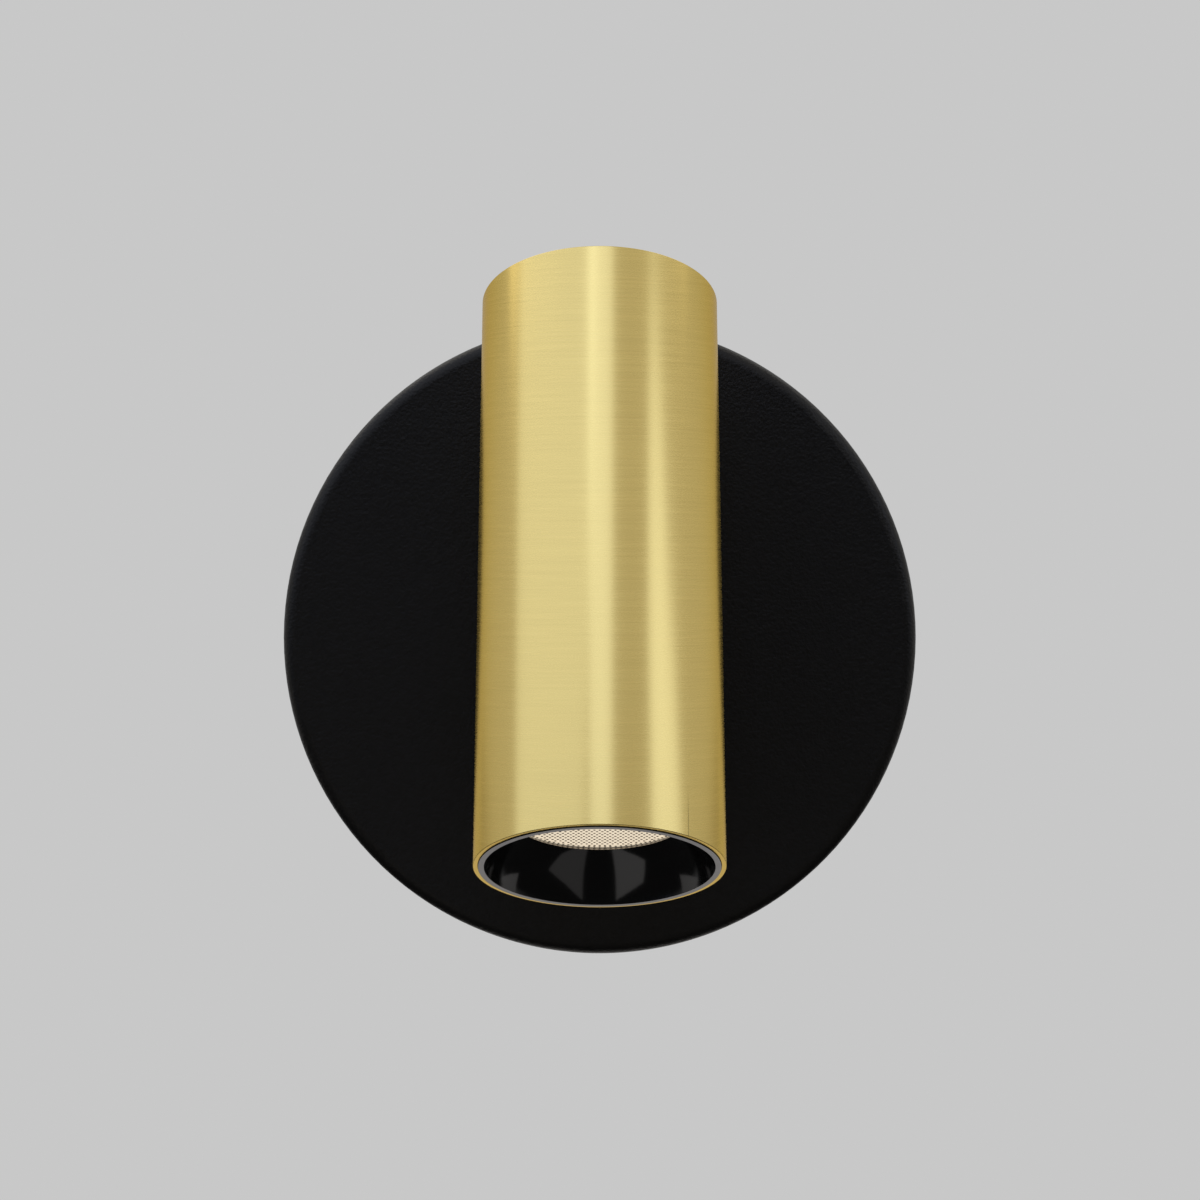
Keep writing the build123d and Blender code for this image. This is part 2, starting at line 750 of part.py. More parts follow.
with BuildPart() as lock_nuts:
    for index in range(2):
        with BuildSketch(wall.offset(nut_top - index * nut_pitch)):
            RegularPolygon(nut_width / 2, 6, major_radius=False, rotation=30 * index)
            Circle(nipple_radius + fit_clearance, mode=Mode.SUBTRACT)
        extrude(amount=-nut_thickness)
nodes["lock_nuts"] = lock_nuts.part

with BuildPart() as arm_lead:
    with BuildSketch(wall.offset(lead_meeting_height + face_play)):
        Circle(lead_diameter / 2)
    extrude(amount=pivot_height - lead_pivot_gap - lead_meeting_height - face_play)
nodes["arm_lead"] = arm_lead.part

# Tilt pivot
with BuildPart() as pivot_screws:
    add(
        round_screw(
            pivot_side.offset(pivot_seat), pivot_screw_diameter, pivot_seat - cheek_inner - face_play,
            pivot_head_diameter, pivot_head_height, "hexagon", pivot_socket, pivot_socket_depth,
        )
    )
    mirror(about=Plane.YZ)
nodes["pivot_screws"] = pivot_screws.part

with BuildPart() as friction_washers:
    add(
        flat_ring(
            pivot_side.offset(cheek_face + face_play), friction_washer_diameter / 2,
            pivot_screw_diameter / 2 + running_clearance, friction_washer_thickness,
        )
    )
    mirror(about=Plane.YZ)
nodes["friction_washers"] = friction_washers.part

# Hinge lug: saddle on the tube, web and two cheeks
saddle_top = lug_frame.offset(tube_radius + saddle_thickness)
saddle_drop = tube_radius - sqrt(tube_radius**2 - (saddle_width / 2) ** 2)
with BuildPart() as hinge_lug:
    with BuildSketch(saddle_top):
        RectangleRounded(saddle_width, saddle_length, saddle_corner_radius)
    extrude(amount=-(saddle_thickness + saddle_drop + tube_wall))
    saddle_rim = hinge_lug.faces().sort_by(Axis(lug_foot, -tube_out))[-1].edges()
    chamfer(saddle_rim, saddle_chamfer)
    with BuildSketch(mouth.offset(pivot_depth - saddle_length)):
        Circle(tube_radius + fit_clearance)
    extrude(amount=2 * saddle_length, mode=Mode.SUBTRACT)
    with BuildSketch(lug_side):
        Circle(cheek_radius)
        Rectangle(pivot_gap - saddle_thickness / 2, 2 * cheek_radius, align=(Align.MIN, Align.CENTER))
    extrude(amount=cheek_face, both=True)
    with BuildSketch(lug_side):
        with Locations((web_start, 0)):
            Rectangle(4 * cheek_radius, 4 * cheek_radius, align=(Align.MAX, Align.CENTER))
    extrude(amount=cheek_inner, both=True, mode=Mode.SUBTRACT)
    with BuildSketch(pivot_side):
        Circle(pivot_screw_diameter / 2 + running_clearance)
    extrude(amount=fork_width, both=True, mode=Mode.SUBTRACT)
    with BuildSketch(lug_frame.offset(tube_inner_radius)):
        Circle(lead_diameter / 2 + hole_clearance)
    extrude(amount=tube_wall + pivot_gap, mode=Mode.SUBTRACT)
    with BuildSketch(lug_frame.offset(tube_inner_radius)):
        Circle(grommet_diameter / 2 + fit_clearance)
    extrude(amount=tube_wall + grommet_projection + fit_clearance, mode=Mode.SUBTRACT)
    with BuildSketch(saddle_top):
        with GridLocations(2 * rib_centre, lug_screw_spacing, 2, 2):
            Circle(lug_screw_diameter / 2 + fit_clearance)
    extrude(amount=-tube_radius, mode=Mode.SUBTRACT)
    with BuildSketch(saddle_top):
        with GridLocations(2 * rib_centre, lug_screw_spacing, 2, 2):
            Circle(lug_screw_head_diameter / 2 + fit_clearance)
    extrude(amount=-(lug_screw_head_diameter - lug_screw_diameter) / 2, taper=45, mode=Mode.SUBTRACT)
nodes["hinge_lug"] = hinge_lug.part

with BuildPart() as lug_screws:
    for across in (-rib_centre, rib_centre):
        for along in (-lug_screw_spacing / 2, lug_screw_spacing / 2):
            screw_place = lug_foot + Vector(across, 0, 0) + tube_up * along
            screw_face = Plane(origin=screw_place, x_dir=(1, 0, 0), z_dir=-tube_out)
            add(
                countersunk_screw(
                    screw_face.offset(tube_radius + saddle_thickness), lug_screw_diameter, lug_screw_length,
                    lug_screw_head_diameter, lug_screw_socket, lug_screw_socket_depth,
                )
            )
nodes["lug_screws"] = lug_screws.part

# Lamp tube and its rear cap
with BuildPart() as lamp_tube:
    with BuildSketch(mouth):
        Circle(tube_radius)
        Circle(tube_inner_radius, mode=Mode.SUBTRACT)
    extrude(amount=tube_length)
    tube_ends = lamp_tube.edges().filter_by(GeomType.CIRCLE).sort_by(SortBy.RADIUS)[-2:]
    chamfer(tube_ends, tube_edge)
    with BuildSketch(lug_frame):
        with GridLocations(2 * rib_centre, lug_screw_spacing, 2, 2):
            Circle(lug_screw_diameter / 2 + fit_clearance)
        Circle(grommet_diameter / 2 + fit_clearance)
    extrude(amount=tube_diameter, mode=Mode.SUBTRACT)
nodes["lamp_tube"] = lamp_tube.part

with BuildPart() as rear_cap:
    cap_radius = tube_inner_radius - fit_clearance
    cap_face = tube_length - rear_cap_recess
    cap_inside = cap_face - rear_cap_thickness
    with BuildSketch(tube_section):
        with BuildLine():
            Polyline(
                (0, cap_face),
                (cap_radius - rear_cap_chamfer, cap_face),
                (cap_radius, cap_face - rear_cap_chamfer),
                (cap_radius, cap_inside - rear_cap_skirt),
                (cap_radius - rear_cap_wall, cap_inside - rear_cap_skirt),
                (cap_radius - rear_cap_wall, cap_inside),
                (0, cap_inside),
                close=True,
            )
        make_face()
    revolve(axis=tube_axis)
nodes["rear_cap"] = rear_cap.part

# Heat sink: front plate, core, radial fins and two ribs that take the lug's screws
with BuildPart() as heat_sink:
    first_fin = 90 + fin_open_angle / 2
    with BuildSketch(mouth.offset(sink_depth + sink_plate)):
        Circle(sink_core_diameter / 2)
        with PolarLocations(0, fin_count, first_fin, 360 - fin_open_angle, endpoint=True):
            Rectangle(tube_radius, fin_thickness, align=(Align.MIN, Align.CENTER))
        for side in (-1, 1):
            with Locations((side * rib_centre, 0)):
                Rectangle(rib_width, tube_radius, align=(Align.CENTER, Align.MIN))
        Circle(sink_radius, mode=Mode.INTERSECT)
    extrude(amount=sink_length - sink_plate)
    with BuildSketch(mouth.offset(sink_depth)):
        Circle(sink_radius)
        with Locations((0, lead_channel)):
            Circle(lead_diameter / 2 + hole_clearance, mode=Mode.SUBTRACT)
        with GridLocations(led_screw_spacing, 0, 2, 1):
            Circle(led_screw_diameter / 2 + fit_clearance, mode=Mode.SUBTRACT)
    extrude(amount=sink_plate)
    with BuildSketch(saddle_top):
        with GridLocations(2 * rib_centre, lug_screw_spacing, 2, 2):
            Circle(lug_screw_diameter / 2 + fit_clearance)
    extrude(amount=-(lug_screw_length + lug_screw_diameter / 2), mode=Mode.SUBTRACT)
nodes["heat_sink"] = heat_sink.part

# LED board, emitter and holder on the heat sink's plate
with BuildPart() as thermal_pad:
    with BuildSketch(mouth.offset(sink_depth - thermal_pad_thickness)):
        Rectangle(board_size, board_size)
    extrude(amount=thermal_pad_thickness)
nodes["thermal_pad"] = thermal_pad.part

with BuildPart() as led_board:
    with BuildSketch(mouth.offset(board_face)):
        RectangleRounded(board_size, board_size, board_thickness)
    extrude(amount=board_thickness)
nodes["led_board"] = led_board.part

with BuildPart() as led_emitter:
    with BuildSketch(mouth.offset(emitter_face)):
        Circle(emitter_diameter / 2)
    extrude(amount=emitter_thickness)
nodes["led_emitter"] = led_emitter.part

with BuildPart() as led_holder:
    with BuildSketch(mouth.offset(led_holder_face)):
        Circle(led_holder_radius)
        Circle(emitter_diameter / 2 + led_window_clearance, mode=Mode.SUBTRACT)
        with GridLocations(led_screw_spacing, 0, 2, 1):
            Circle(led_screw_diameter / 2 + fit_clearance, mode=Mode.SUBTRACT)
    extrude(amount=led_holder_height)
    holder_front = led_holder.faces().sort_by(tube_axis)[0]
    window_edge = holder_front.edges().filter_by(
        lambda edge: abs(edge.radius - emitter_diameter / 2 - led_window_clearance) < fit_clearance
    )
    chamfer(window_edge, led_window_chamfer)
    with BuildSketch(mouth.offset(board_face)):
        Rectangle(board_size + 2 * hole_clearance, board_size + 2 * hole_clearance)
    extrude(amount=board_thickness + thermal_pad_thickness, mode=Mode.SUBTRACT)
nodes["led_holder"] = led_holder.part

with BuildPart() as led_holder_screws:
    for across in (-led_screw_spacing / 2, led_screw_spacing / 2):
        holder_seat = Plane(
            origin=mouth_centre + Vector(across, 0, 0) + tube_up * led_holder_face,
            x_dir=(1, 0, 0), z_dir=-tube_up,
        )
        add(
            round_screw(
                holder_seat, led_screw_diameter, led_holder_height + led_screw_grip, led_screw_head_diameter,
                led_screw_head_height, "hexagon", led_screw_socket, led_screw_head_height / 2,
            )
        )
nodes["led_holder_screws"] = led_holder_screws.part

# Lens: flange, curved body and a domed cup over the emitter
with BuildPart() as lens:
    body_front = (lens_body_radius, lens_flange_rear)
    body_rear = (lens_rear_diameter / 2, lens_rear)
    body_middle = (
        (body_front[0] + body_rear[0]) / 2 + lens_body_bulge,
        (body_front[1] + body_rear[1]) / 2 + lens_body_bulge,
    )
    cup_radius = lens_cup_diameter / 2
    cup_top = lens_rear - lens_cup_length
    with BuildSketch(tube_section):
        with BuildLine():
            Polyline(
                (0, cup_top + lens_cup_dome),
                (0, lens_depth),
                (lens_flange_radius, lens_depth),
                (lens_flange_radius, lens_flange_rear),
                body_front,
            )
            ThreePointArc(body_front, body_middle, body_rear)
            Polyline(body_rear, (cup_radius, lens_rear), (cup_radius, cup_top))
            TangentArc((0, cup_top + lens_cup_dome), (cup_radius, cup_top), tangent=(1, 0))
        make_face()
    revolve(axis=tube_axis)
nodes["lens"] = lens.part

with BuildPart() as lens_holder:
    with BuildSketch(tube_section):
        with BuildLine():
            Polyline(
                (lens_pocket_radius, lens_depth),
                (lens_holder_radius, lens_depth),
                (lens_holder_radius, sink_depth),
                (lens_pocket_radius, sink_depth),
                (lens_pocket_radius, lens_flange_rear + lens_ledge_thickness),
                (lens_body_radius + hole_clearance, lens_flange_rear + lens_ledge_thickness),
                (lens_body_radius + hole_clearance, lens_flange_rear),
                (lens_pocket_radius, lens_flange_rear),
                close=True,
            )
        make_face()
    revolve(axis=tube_axis)
nodes["lens_holder"] = lens_holder.part

# Baffle: flat rim, curved cone, lip over the lens and a skirt with the ring's groove
with BuildPart() as baffle:
    lip_front = lens_depth - baffle_lip_thickness
    cone_run = Vector(aperture_radius - rim_inner, lip_front - baffle_recess)
    cone_back = Vector(cone_run.Y, -cone_run.X).normalized()
    cone_middle = Vector(rim_inner, baffle_recess) + cone_run * 0.5
    rim_back = baffle_recess + baffle_rim_thickness
    skirt_end = baffle_recess + baffle_skirt_length
    groove_top = skirt_end - ring_groove_inset - ring_groove_width
    bulge_point = cone_middle + cone_back * baffle_bulge
    back_bulge_point = cone_middle + cone_back * (baffle_bulge + baffle_wall)
    lip_back = Vector(aperture_radius, lip_front) + cone_back * baffle_wall
    with BuildSketch(tube_section):
        with BuildLine():
            Polyline(
                (rim_inner, baffle_recess),
                (rim_outer, baffle_recess),
                (rim_outer, rim_back),
                (skirt_outer, rim_back),
                (skirt_outer, groove_top),
                (skirt_outer - ring_groove_depth, groove_top),
                (skirt_outer - ring_groove_depth, groove_top + ring_groove_width),
                (skirt_outer, groove_top + ring_groove_width),
                (skirt_outer, skirt_end),
                (skirt_inner, skirt_end),
                (skirt_inner, back_bulge_point.Y),
                (back_bulge_point.X, back_bulge_point.Y),
                (lip_back.X, lip_front),
                (aperture_radius + baffle_lip_width, lip_front),
                (aperture_radius + baffle_lip_width, lens_depth),
                (aperture_radius, lens_depth),
                (aperture_radius, lip_front),
            )
            ThreePointArc((aperture_radius, lip_front), bulge_point, (rim_inner, baffle_recess))
        make_face()
    revolve(axis=tube_axis)
nodes["baffle"] = baffle.part

nodes["baffle_ring"] = flat_ring(
    mouth.offset(groove_top + face_play), tube_inner_radius - fit_clearance,
    skirt_outer - ring_groove_depth + fit_clearance, ring_groove_width - 2 * face_play,
)

# Lead from the tilt joint through the tube's wall to the LED holder
with BuildPart() as lead_grommet:
    flange_top = sqrt(tube_inner_radius**2 - (grommet_flange_diameter / 2) ** 2) - fit_clearance
    with BuildSketch(lug_frame.offset(flange_top - grommet_flange_thickness)):
        Circle(grommet_flange_diameter / 2)
    extrude(amount=grommet_flange_thickness)
    with BuildSketch(lug_frame.offset(flange_top)):
        Circle(grommet_diameter / 2)
    extrude(amount=tube_radius + grommet_projection - flange_top)
    with BuildSketch(lug_frame.offset(flange_top - grommet_flange_thickness)):
        Circle(lead_diameter / 2 + fit_clearance)
    extrude(amount=tube_radius, mode=Mode.SUBTRACT)
nodes["lead_grommet"] = lead_grommet.part

with BuildPart() as head_lead:
    lead_start = pivot + tube_out * lead_pivot_gap
    lead_corner = lug_foot - tube_out * lead_channel
    lead_end = lead_corner - tube_up * (pivot_depth - sink_depth)
    with BuildLine() as head_route:
        FilletPolyline(lead_start, lead_corner, lead_end, radius=lead_bend_radius)
    with BuildSketch(Plane(origin=lead_start, z_dir=tube_out)):
        Circle(lead_diameter / 2)
    sweep()
nodes["head_lead"] = head_lead.part

os.makedirs("parts", exist_ok=True)
for node, piece in nodes.items():
    piece.label = node
    export_step(piece, f"parts/{node}.step")
print(len(nodes), "nodes written")
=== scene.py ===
import math

import bmesh
import bpy
from mathutils import Matrix, Vector


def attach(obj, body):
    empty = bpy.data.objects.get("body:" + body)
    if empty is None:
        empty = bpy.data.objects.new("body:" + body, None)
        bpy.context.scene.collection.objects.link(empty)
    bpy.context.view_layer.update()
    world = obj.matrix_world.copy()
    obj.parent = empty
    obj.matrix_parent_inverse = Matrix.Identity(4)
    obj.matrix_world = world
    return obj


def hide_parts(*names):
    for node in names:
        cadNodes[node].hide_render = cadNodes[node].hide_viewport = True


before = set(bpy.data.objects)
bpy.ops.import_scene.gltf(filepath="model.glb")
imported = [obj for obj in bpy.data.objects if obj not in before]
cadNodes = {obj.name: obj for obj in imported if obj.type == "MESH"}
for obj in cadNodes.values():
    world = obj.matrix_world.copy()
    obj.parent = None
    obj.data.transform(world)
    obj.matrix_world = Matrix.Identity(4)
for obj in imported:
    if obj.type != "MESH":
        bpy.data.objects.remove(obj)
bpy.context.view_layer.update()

mm = 0.001
print("frame loaded:", len(cadNodes), "nodes")


# The head's place at rest: the tube's mouth leans out from the wall by the tilt
headPlace = {"tilt": 23.9, "pivotOut": 60.5, "axisFromPivot": 38.0, "pivotFromMouth": 67.1}
lean = math.radians(headPlace["tilt"])
sideways = Vector((1, 0, 0))
tubeUp = Vector((0, math.sin(lean), math.cos(lean)))
tubeOut = Vector((0, -math.cos(lean), math.sin(lean)))
mouthCentre = (
    Vector((0, -headPlace["pivotOut"], 0))
    + headPlace["axisFromPivot"] * tubeOut
    - headPlace["pivotFromMouth"] * tubeUp
) * mm


def placeAt(origin, xAxis, zAxis):
    yAxis = zAxis.cross(xAxis)
    place = Matrix((xAxis, yAxis, zAxis)).transposed().to_4x4()
    place.translation = origin
    return place


headFrame = placeAt(mouthCentre, sideways, tubeUp)  # z runs up the tube from its mouth


# Mesh helpers
axisReach = 1e-6  # mm, a profile point nearer than this lies on the axis


def addObject(name, data):
    obj = bpy.data.objects.new(name, data)
    bpy.context.scene.collection.objects.link(obj)
    return obj


def arcPoints(centre, radius, start, end, steps):
    points = []
    for i in range(steps + 1):
        angle = math.radians(start + (end - start) * i / steps)
        points.append((centre[0] + radius * math.cos(angle), centre[1] + radius * math.sin(angle)))
    return points


def turnRing(bm, radius, height, segments):
    if radius < axisReach:
        return [bm.verts.new((0, 0, height * mm))]
    ring = []
    for i in range(segments):
        angle = 2 * math.pi * i / segments
        x, y = radius * mm * math.cos(angle), radius * mm * math.sin(angle)
        ring.append(bm.verts.new((x, y, height * mm)))
    return ring


def turnProfile(name, profile, place, segments, sharpAngle=30, slotOf=None):
    # profile: (radius, height) in mm, round the whole section
    # u goes round the piece, v runs along the section in metres
    mesh = bpy.data.meshes.new(name)
    bm = bmesh.new()
    uvLayer = bm.loops.layers.uv.new("turned")
    rings = [turnRing(bm, radius, height, segments) for radius, height in profile]
    run = 0.0
    for k in range(len(profile)):
        after = (k + 1) % len(profile)
        here, there = rings[k], rings[after]
        nextRun = run + math.dist(profile[k], profile[after]) * mm
        if len(here) == 1 and len(there) == 1:
            continue
        for i in range(segments):
            j = (i + 1) % segments
            u0, u1 = i / segments, (i + 1) / segments
            corners = [(here[i % len(here)], (u0, run)), (here[j % len(here)], (u1, run)),
                       (there[j % len(there)], (u1, nextRun)),
                       (there[i % len(there)], (u0, nextRun))]
            if len(here) == 1:
                corners.pop(1)
            if len(there) == 1:
                corners.pop(2)
            face = bm.faces.new([vert for vert, uv in corners])
            face.smooth = True
            face.material_index = slotOf(k) if slotOf else 0
            for loop, (vert, uv) in zip(face.loops, corners):
                loop[uvLayer].uv = uv
        run = nextRun
    bmesh.ops.recalc_face_normals(bm, faces=bm.faces)
    bm.transform(place)
    bm.to_mesh(mesh)
    bm.free()
    mesh.set_sharp_from_angle(angle=math.radians(sharpAngle))
    return addObject(name, mesh)


# Shader helpers
def addNode(tree, kind, **values):
    node = tree.nodes.new(kind)
    for key, value in values.items():
        setattr(node, key, value)
    return node


def makeGroup(name, inputs, outputs):
    tree = bpy.data.node_groups.new(name, "ShaderNodeTree")
    for label, kind in inputs:
        tree.interface.new_socket(label, in_out="INPUT", socket_type="NodeSocket" + kind)
    for label, kind in outputs:
        tree.interface.new_socket(label, in_out="OUTPUT", socket_type="NodeSocket" + kind)
    return tree, tree.nodes.new("NodeGroupInput"), tree.nodes.new("NodeGroupOutput")


def multiply(tree, first, second):
    product = addNode(tree, "ShaderNodeMath", operation="MULTIPLY")
    tree.links.new(first, product.inputs[0])
    tree.links.new(second, product.inputs[1])
    return product.outputs[0]


def shiftTone(tree, colorSocket, toneSocket, amountSocket):
    # colour times 1 + amount x (tone - 0.5)
    centred = addNode(tree, "ShaderNodeMath", operation="SUBTRACT")
    centred.inputs[1].default_value = 0.5
    tree.links.new(toneSocket, centred.inputs[0])
    scaled = addNode(tree, "ShaderNodeMath", operation="MULTIPLY_ADD")
    tree.links.new(centred.outputs[0], scaled.inputs[0])
    tree.links.new(amountSocket, scaled.inputs[1])
    scaled.inputs[2].default_value = 1.0
    tinted = addNode(tree, "ShaderNodeVectorMath", operation="SCALE")
    tree.links.new(colorSocket, tinted.inputs[0])
    tree.links.new(scaled.outputs[0], tinted.inputs["Scale"])
    return tinted.outputs[0], centred.outputs[0]


def shiftRoughness(tree, baseSocket, centredSocket, amountSocket):
    moved = addNode(tree, "ShaderNodeMath", operation="MULTIPLY_ADD", use_clamp=True)
    tree.links.new(centredSocket, moved.inputs[0])
    tree.links.new(amountSocket, moved.inputs[1])
    tree.links.new(baseSocket, moved.inputs[2])
    return moved.outputs[0]


# Shared surface effects: each turns one noise into a change of tone, gloss and height
effectNoise = {
    "softMottle": {"detail": 4.0, "roughness": 0.6},  # cloudy, for moulded and plated pieces
    "powderGrain": {"detail": 2.0, "roughness": 0.55},  # sandy, for powder coats
    "brushLines": {"detail": 5.0, "roughness": 0.62},  # long lines, drawn out by the vector given
}


def buildEffect(name, pattern):
    # pattern: "Scale" for a noise on Object coordinates, "Vector" for one that is led in stretched
    patternKind = {"Scale": "Float", "Vector": "Vector"}[pattern]
    tree, given, made = makeGroup(
        name,
        [("Color", "Color"), (pattern, patternKind), ("Amount", "Float"),
         ("Roughness", "Float"), ("Gloss Change", "Float")],
        [("Color", "Color"), ("Roughness", "Float"), ("Height", "Float")])
    noise = addNode(tree, "ShaderNodeTexNoise")
    noise.inputs["Scale"].default_value = 1.0
    noise.inputs["Detail"].default_value = effectNoise[name]["detail"]
    noise.inputs["Roughness"].default_value = effectNoise[name]["roughness"]
    tree.links.new(given.outputs[pattern], noise.inputs[pattern])
    if pattern == "Scale":
        where = addNode(tree, "ShaderNodeTexCoord")
        tree.links.new(where.outputs["Object"], noise.inputs["Vector"])
    tone = noise.outputs[0]
    color, centred = shiftTone(tree, given.outputs["Color"], tone, given.outputs["Amount"])
    gloss = shiftRoughness(tree, given.outputs["Roughness"], centred, given.outputs["Gloss Change"])
    tree.links.new(color, made.inputs["Color"])
    tree.links.new(gloss, made.inputs["Roughness"])
    tree.links.new(tone, made.inputs["Height"])
    return tree


mottleGroup = buildEffect("softMottle", "Scale")
grainGroup = buildEffect("powderGrain", "Scale")
brushGroup = buildEffect("brushLines", "Vector")


def startMaterial(name):
    material = bpy.data.materials.new(name)
    material.use_nodes = True
    tree = material.node_tree
    return material, tree, tree.nodes["Principled BSDF"]


def feedShader(tree, shader, group, look, vectorSocket=None):
    # places a shared group and leads its colour, gloss and height into the shader
    effect = addNode(tree, "ShaderNodeGroup", node_tree=group)
    effect.inputs["Color"].default_value = (*look["color"], 1)
    effect.inputs["Roughness"].default_value = look["roughness"]
    effect.inputs["Amount"].default_value = look["amount"]
    effect.inputs["Gloss Change"].default_value = look["glossChange"]
    if "scale" in look:
        effect.inputs["Scale"].default_value = look["scale"]
    if vectorSocket is not None:
        tree.links.new(vectorSocket, effect.inputs["Vector"])
    tree.links.new(effect.outputs["Color"], shader.inputs["Base Color"])
    tree.links.new(effect.outputs["Roughness"], shader.inputs["Roughness"])
    if look.get("bump"):
        bump = addNode(tree, "ShaderNodeBump")
        bump.inputs["Strength"].default_value = look["bump"]
        bump.inputs["Distance"].default_value = look["bumpDepth"]
        tree.links.new(effect.outputs["Height"], bump.inputs["Height"])
        tree.links.new(bump.outputs["Normal"], shader.inputs["Normal"])
    shader.inputs["Metallic"].default_value = look.get("metallic", 0.0)
    shader.inputs["Specular IOR Level"].default_value = look.get("specular", 0.5)
    shader.inputs["Specular Tint"].default_value = (*look.get("edgeTint", (1, 1, 1)), 1)
    return effect


def plainMaterial(name, group, look):
    material, tree, shader = startMaterial(name)
    feedShader(tree, shader, group, look)
    return material


def dressNodes(material, *names):
    for name in names:
        mesh = cadNodes[name].data
        mesh.materials.clear()
        mesh.materials.append(material)


def finishPiece(obj, body, replaced, slotName, *materials):
    for material in materials:
        obj.data.materials.append(material)
    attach(obj, body)
    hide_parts(*replaced)
    return obj


# Brushed brass tube
tubeLook = {
    "radius": 26.0, "wall": 1.0, "length": 131.5, "segments": 192,
    "edge": 0.12, "innerEdge": 0.08, "edgeSteps": 4,
    "color": (0.78, 0.595, 0.205), "roughness": 0.27, "edgeTint": (0.78, 0.64, 0.38),
    "anisotropic": 0.55, "sheenTurn": 0.25,  # the sheen spreads across the lines
    "amount": 0.26, "glossChange": 0.12, "streakLength": 0.018, "streakWidth": 0.00036,
    "seamAngle": 43.0, "seamWidth": 0.16, "seamRise": 12.0, "seamDepth": 0.45,
    "seamCore": 0.3, "seamFull": 0.2,  # shares of the seam's width and rise that are at full depth
    "seamFront": 10.0, "seamBack": 5.0,  # mm out from the axis, keeps the seam off the far side
    "cutEnd": {"color": (0.76, 0.57, 0.20), "roughness": 0.3, "amount": 0.15, "glossChange": 0.1,
               "scale": 700.0, "metallic": 1.0, "edgeTint": (0.90, 0.76, 0.48)},
}


def brassMaterial(name, look, turn, stretch):
    material, tree, shader = startMaterial(name)
    where = addNode(tree, "ShaderNodeTexCoord")
    mapped = addNode(tree, "ShaderNodeMapping")
    mapped.inputs["Rotation"].default_value = turn
    mapped.inputs["Scale"].default_value = stretch
    tree.links.new(where.outputs["Object"], mapped.inputs["Vector"])
    feedShader(tree, shader, brushGroup, {**look, "metallic": 1.0}, mapped.outputs["Vector"])
    shader.inputs["Anisotropic"].default_value = look["anisotropic"]
    shader.inputs["Anisotropic Rotation"].default_value = look["sheenTurn"]
    along = addNode(tree, "ShaderNodeTangent", direction_type="UV_MAP", uv_map="turned")
    tree.links.new(along.outputs["Tangent"], shader.inputs["Tangent"])
    return material


def fadeOut(tree, socket, fullAt, goneAt):
    fade = addNode(tree, "ShaderNodeMapRange", interpolation_type="SMOOTHSTEP")
    fade.inputs["From Min"].default_value = fullAt
    fade.inputs["From Max"].default_value = goneAt
    fade.inputs["To Min"].default_value = 1.0
    fade.inputs["To Max"].default_value = 0.0
    tree.links.new(socket, fade.inputs["Value"])
    return fade.outputs[0]


def drawSeam(material, look):
    # a fine dark closing line that rises from the mouth and fades out
    tree = material.node_tree
    shader = tree.nodes["Principled BSDF"]
    angle = math.radians(look["seamAngle"])
    radial = math.cos(angle) * tubeOut + math.sin(angle) * sideways
    where = addNode(tree, "ShaderNodeTexCoord")
    local = addNode(tree, "ShaderNodeMapping", vector_type="TEXTURE")
    local.inputs["Location"].default_value = mouthCentre
    local.inputs["Rotation"].default_value = placeAt(mouthCentre, radial, tubeUp).to_euler()
    local.inputs["Scale"].default_value = (mm, mm, mm)
    tree.links.new(where.outputs["Object"], local.inputs["Vector"])
    parts = addNode(tree, "ShaderNodeSeparateXYZ")
    tree.links.new(local.outputs["Vector"], parts.inputs[0])
    aside = addNode(tree, "ShaderNodeMath", operation="ABSOLUTE")
    tree.links.new(parts.outputs["Y"], aside.inputs[0])
    width, rise = look["seamWidth"], look["seamRise"]
    beside = fadeOut(tree, aside.outputs[0], look["seamCore"] * width, width)
    above = fadeOut(tree, parts.outputs["Z"], look["seamFull"] * rise, rise)
    behind = fadeOut(tree, parts.outputs["X"], look["seamFront"], look["seamBack"])
    mask = multiply(tree, multiply(tree, beside, above), behind)
    keep = addNode(tree, "ShaderNodeMath", operation="MULTIPLY_ADD")
    tree.links.new(mask, keep.inputs[0])
    keep.inputs[1].default_value = -look["seamDepth"]
    keep.inputs[2].default_value = 1.0
    darker = addNode(tree, "ShaderNodeVectorMath", operation="SCALE")
    tree.links.new(shader.inputs["Base Color"].links[0].from_socket, darker.inputs[0])
    tree.links.new(keep.outputs[0], darker.inputs["Scale"])
    tree.links.new(darker.outputs[0], shader.inputs["Base Color"])


def makeTube():
    look = tubeLook
    inner, outer, top = look["radius"] - look["wall"], look["radius"], look["length"]
    edge, innerEdge, steps = look["edge"], look["innerEdge"], look["edgeSteps"]
    profile = (
        arcPoints((outer - edge, edge), edge, -90, 0, steps)
        + arcPoints((outer - edge, top - edge), edge, 0, 90, steps)
        + arcPoints((inner + innerEdge, top - innerEdge), innerEdge, 90, 180, steps)
        + arcPoints((inner + innerEdge, innerEdge), innerEdge, 180, 270, steps)
    )
    cutFaces = (len(profile) // 2 - 1, len(profile) - 1)  # at the top and at the mouth
    tube = turnProfile("brassTube", profile, headFrame, look["segments"],
                       slotOf=lambda k: int(k in cutFaces))
    streaks = (1 / look["streakLength"], 1 / look["streakLength"], 1 / look["streakWidth"])
    brass = brassMaterial("brushedBrass", look, (lean, 0, 0), streaks)
    drawSeam(brass, look)
    cutBrass = plainMaterial("cutBrass", mottleGroup, look["cutEnd"])
    return finishPiece(tube, "head", ["lamp_tube"], "brushed_brass", brass, cutBrass)


makeTube()
print("brass tube made")

